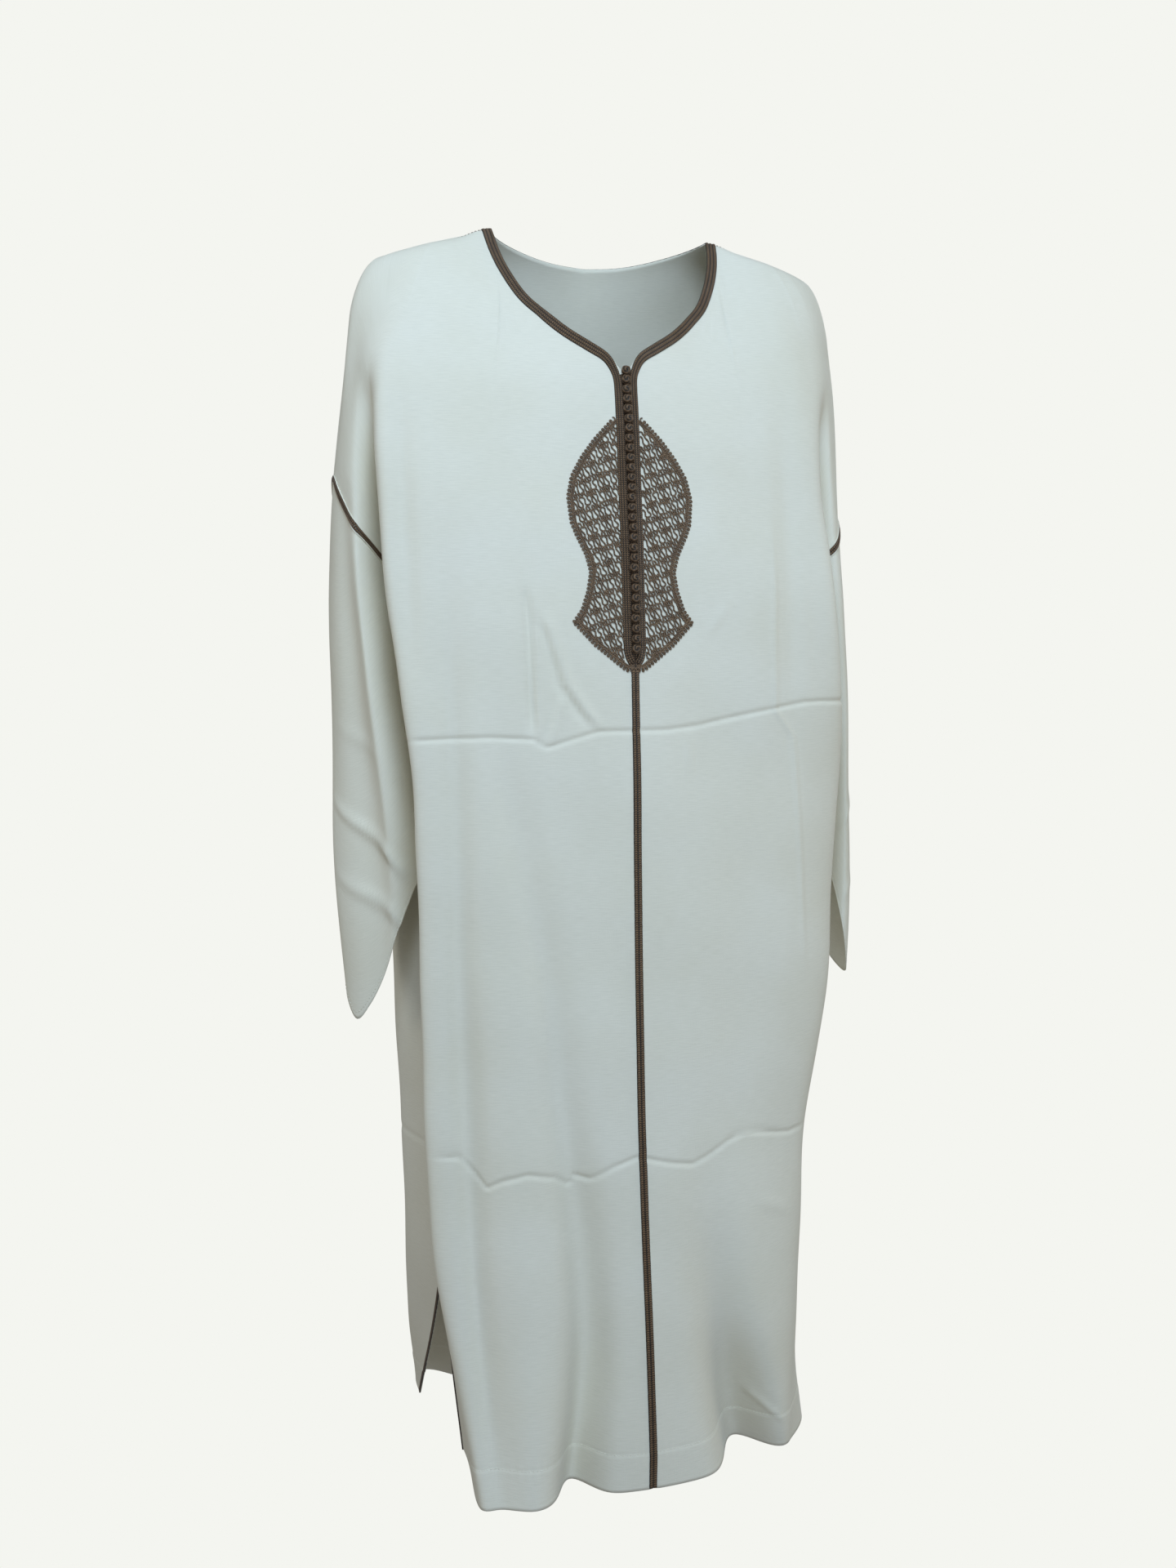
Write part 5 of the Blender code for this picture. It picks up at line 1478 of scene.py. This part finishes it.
def pale_stage_material():
    material, nodes, links, shader = new_material("pale_stage")
    shader.inputs["Base Color"].default_value = (0, 0, 0, 1)
    shader.inputs["Roughness"].default_value = 1.0
    shader.inputs["Specular IOR Level"].default_value = 0.0
    shader.inputs["Emission Color"].default_value = (*PALE, 1)
    shader.inputs["Emission Strength"].default_value = 1.0
    return material


def add_floor():
    made = make_mesh(
        "pale_floor",
        [(12 * math.cos(a), 12 * math.sin(a), FLOOR_HEIGHT) for a in np.linspace(0, 2 * np.pi, 65)[:-1]],
        [list(range(64))],
        pale_stage_material(),
        smooth=False,
    )
    # it is seen, and the light comes from the world and the lamps alone
    made.visible_diffuse = made.visible_glossy = made.visible_shadow = False


def add_world():
    """The pale background that is seen, and a dimmer, warmer light that fills the shadows."""
    world = bpy.data.worlds.new("studio")
    bpy.context.scene.world = world
    world.use_nodes = True
    nodes, links = world.node_tree.nodes, world.node_tree.links
    seen = nodes["Background"]
    seen.inputs["Color"].default_value = (*PALE, 1)
    fill = nodes.new("ShaderNodeBackground")
    fill.inputs["Color"].default_value = (*FILL_COLOUR, 1)
    fill.inputs["Strength"].default_value = FILL_STRENGTH
    mix, path = nodes.new("ShaderNodeMixShader"), nodes.new("ShaderNodeLightPath")
    links.new(path.outputs["Is Camera Ray"], mix.inputs["Fac"])
    links.new(fill.outputs[0], mix.inputs[1])
    links.new(seen.outputs[0], mix.inputs[2])
    links.new(mix.outputs[0], nodes["World Output"].inputs["Surface"])


def add_lamp(name, place, aim, size, power, colour):
    data = bpy.data.lights.new(name, "AREA")
    data.shape, data.size, data.energy, data.color = "DISK", size, power, colour
    made = bpy.data.objects.new(name, data)
    made.location = place
    made.visible_camera = False
    made.rotation_euler = (Vector(aim) - Vector(place)).to_track_quat("-Z", "Y").to_euler()
    bpy.context.scene.collection.objects.link(made)


def add_camera():
    data = bpy.data.cameras.new("photograph")
    data.lens, data.sensor_width, data.sensor_fit = CAMERA_LENS, 36, "AUTO"
    data.shift_x, data.shift_y = CAMERA_SHIFT
    made = bpy.data.objects.new("photograph", data)
    made.location = CAMERA_PLACE
    made.rotation_euler = [math.radians(angle) for angle in CAMERA_TURN]
    bpy.context.scene.collection.objects.link(made)
    bpy.context.scene.camera = made


def sewn(ground, route, radius):
    """Stitches along a line that lies on the cloth."""
    route = resample(route, 0.002)
    return stitches(route, ground.nearest(route)[1], STITCH_LENGTH, STITCH_GAP, radius)


def add_stitches(fronts, back, sleeves, cream, cord):
    """Hem and cuff stitches in cream thread, and brown ones over the shoulder seams."""
    runs = []
    for sheet, hem in ((fronts[RIGHT], FRONT_HEM), (fronts[LEFT], FRONT_HEM), (back, BACK_HEM)):
        row = int(np.nanargmin(abs(sheet.grid[:, sheet.grid.shape[1] // 3, 2] - (hem + HEM_DEPTH))))
        line = sheet.grid[row][sheet.present[row]]
        runs += sewn(Ground(sheet), line[1:-1], HEM_THREAD)
    for sheet in sleeves.values():
        row = sheet.grid[-1 - round(CUFF_STITCH / (0.45 / SLEEVE_ROWS))]
        runs += sewn(Ground(sheet), row, HEM_THREAD)
    add_trim("hem_stitches", runs, cream, [])
    runs = []
    for side, sheet in fronts.items():
        runs += sewn(Ground(sheet, back), sheet.grid[0][FRONT_COLUMNS >= NECK_COLUMN + 0.03], SHOULDER_THREAD)
    add_trim("shoulder_stitches", runs, cord, [])


def main():
    cream, cord = cloth_material(), cord_material()
    silk = silk_material("brown_silk", SILK_SHADED, SILK_LIT, 0.48)
    dark_silk = silk_material("dark_brown_silk", BUTTON_SHADED, BUTTON_LIT, 0.5)
    knot_silk = silk_material("knot_silk", BUTTON_SHADED, BUTTON_LIT, 0.5, plaited=False)

    fronts = {side: front_sheet(side) for side in (RIGHT, LEFT)}
    back = back_sheet()
    sleeves = {side: sleeve_sheet(side) for side in (RIGHT, LEFT)}
    for side, sheet in fronts.items():
        rise = relief(sheet.points, FRONT_ROW_CREASES, FRONT_COLUMN_CREASES)
        rise += soft_waves(sheet.points, 1.3) + hem_relief(sheet.points, -FRONT_HEM)
        sheet.raise_by(rise * edge_fade(sheet))
    rise = relief(back.points, BACK_ROW_CREASES, BACK_COLUMN_CREASES)
    rise += soft_waves(back.points, 4.1) + hem_relief(back.points, -BACK_HEM)
    back.raise_by(rise * edge_fade(back))
    for side, sheet in sleeves.items():
        sheet.raise_by(sleeve_relief(side, sheet))

    for side, sheet in fronts.items():
        name = "front_" + SIDE_NAME[side]
        add_cloth("cloth_" + name, sheet, cream, [name])
    add_cloth("cloth_back", back, cream, ["back"])
    for side, sheet in sleeves.items():
        name = "sleeve_" + SIDE_NAME[side]
        add_cloth("cloth_" + name, sheet, cream, [name])

    both = Ground(*fronts.values())
    everything = Ground(*fronts.values(), back, *sleeves.values())
    for side in (RIGHT, LEFT):
        word, front = SIDE_NAME[side], fronts[side]
        run = front_neck_plait(side, front, both)
        add_trim(f"neck_plait_{word}", [run], silk, [f"neck_braid_{word}"])
        line = resample(armhole_line(side, front, back), BRAID_STEP)
        line = smoothed(line, 6)
        braid, piping = armhole_runs(everything, line)
        add_trim(f"armhole_plait_{word}", [braid], silk, [f"armhole_braid_{word}"])
        add_trim(f"armhole_piping_{word}", piping, cream, [])
        edge = int(np.argmin(abs(FRONT_COLUMNS - 1)))
        run = slit_plait(front, (edge, edge - 1), SLIT_FRONT_TRIM_WIDTH, 1)
        add_trim(f"slit_plait_front_{word}", [run], silk, [f"slit_trim_front_{word}"])
        edge = int(np.argmin(abs(BACK_COLUMNS - 3)))
        last = back.grid.shape[1] - 1
        pair_of = (edge, edge + 1) if side == RIGHT else (last - edge, last - edge - 1)
        run = slit_plait(back, pair_of, SLIT_BACK_TRIM_WIDTH, 2)
        add_trim(f"slit_plait_back_{word}", [run], silk, [f"slit_trim_back_{word}"])
        runs = medallion_parts(side, both)
        add_trim(f"medallion_cords_{word}", runs, cord, [f"medallion_{word}"])
    add_trim("neck_plait_back", [back_neck_plait(back, Ground(back))], silk, ["neck_braid_back"])
    add_trim("centre_plait", [centre_plait(both)], silk, ["front_braid"])
    add_trim("placket_backing", [placket_backing(both)], dark_silk, [])
    balls = [f"button_{i + 1:02d}" for i in range(BUTTON_COUNT)]
    add_trim("knotted_buttons", knotted_buttons(both), knot_silk, balls)

    add_stitches(fronts, back, sleeves, cream, cord)
    add_floor()
    add_world()
    add_camera()
    for lamp in LAMPS:
        add_lamp(*lamp)
    bpy.context.scene.view_settings.view_transform = "Standard"


main()
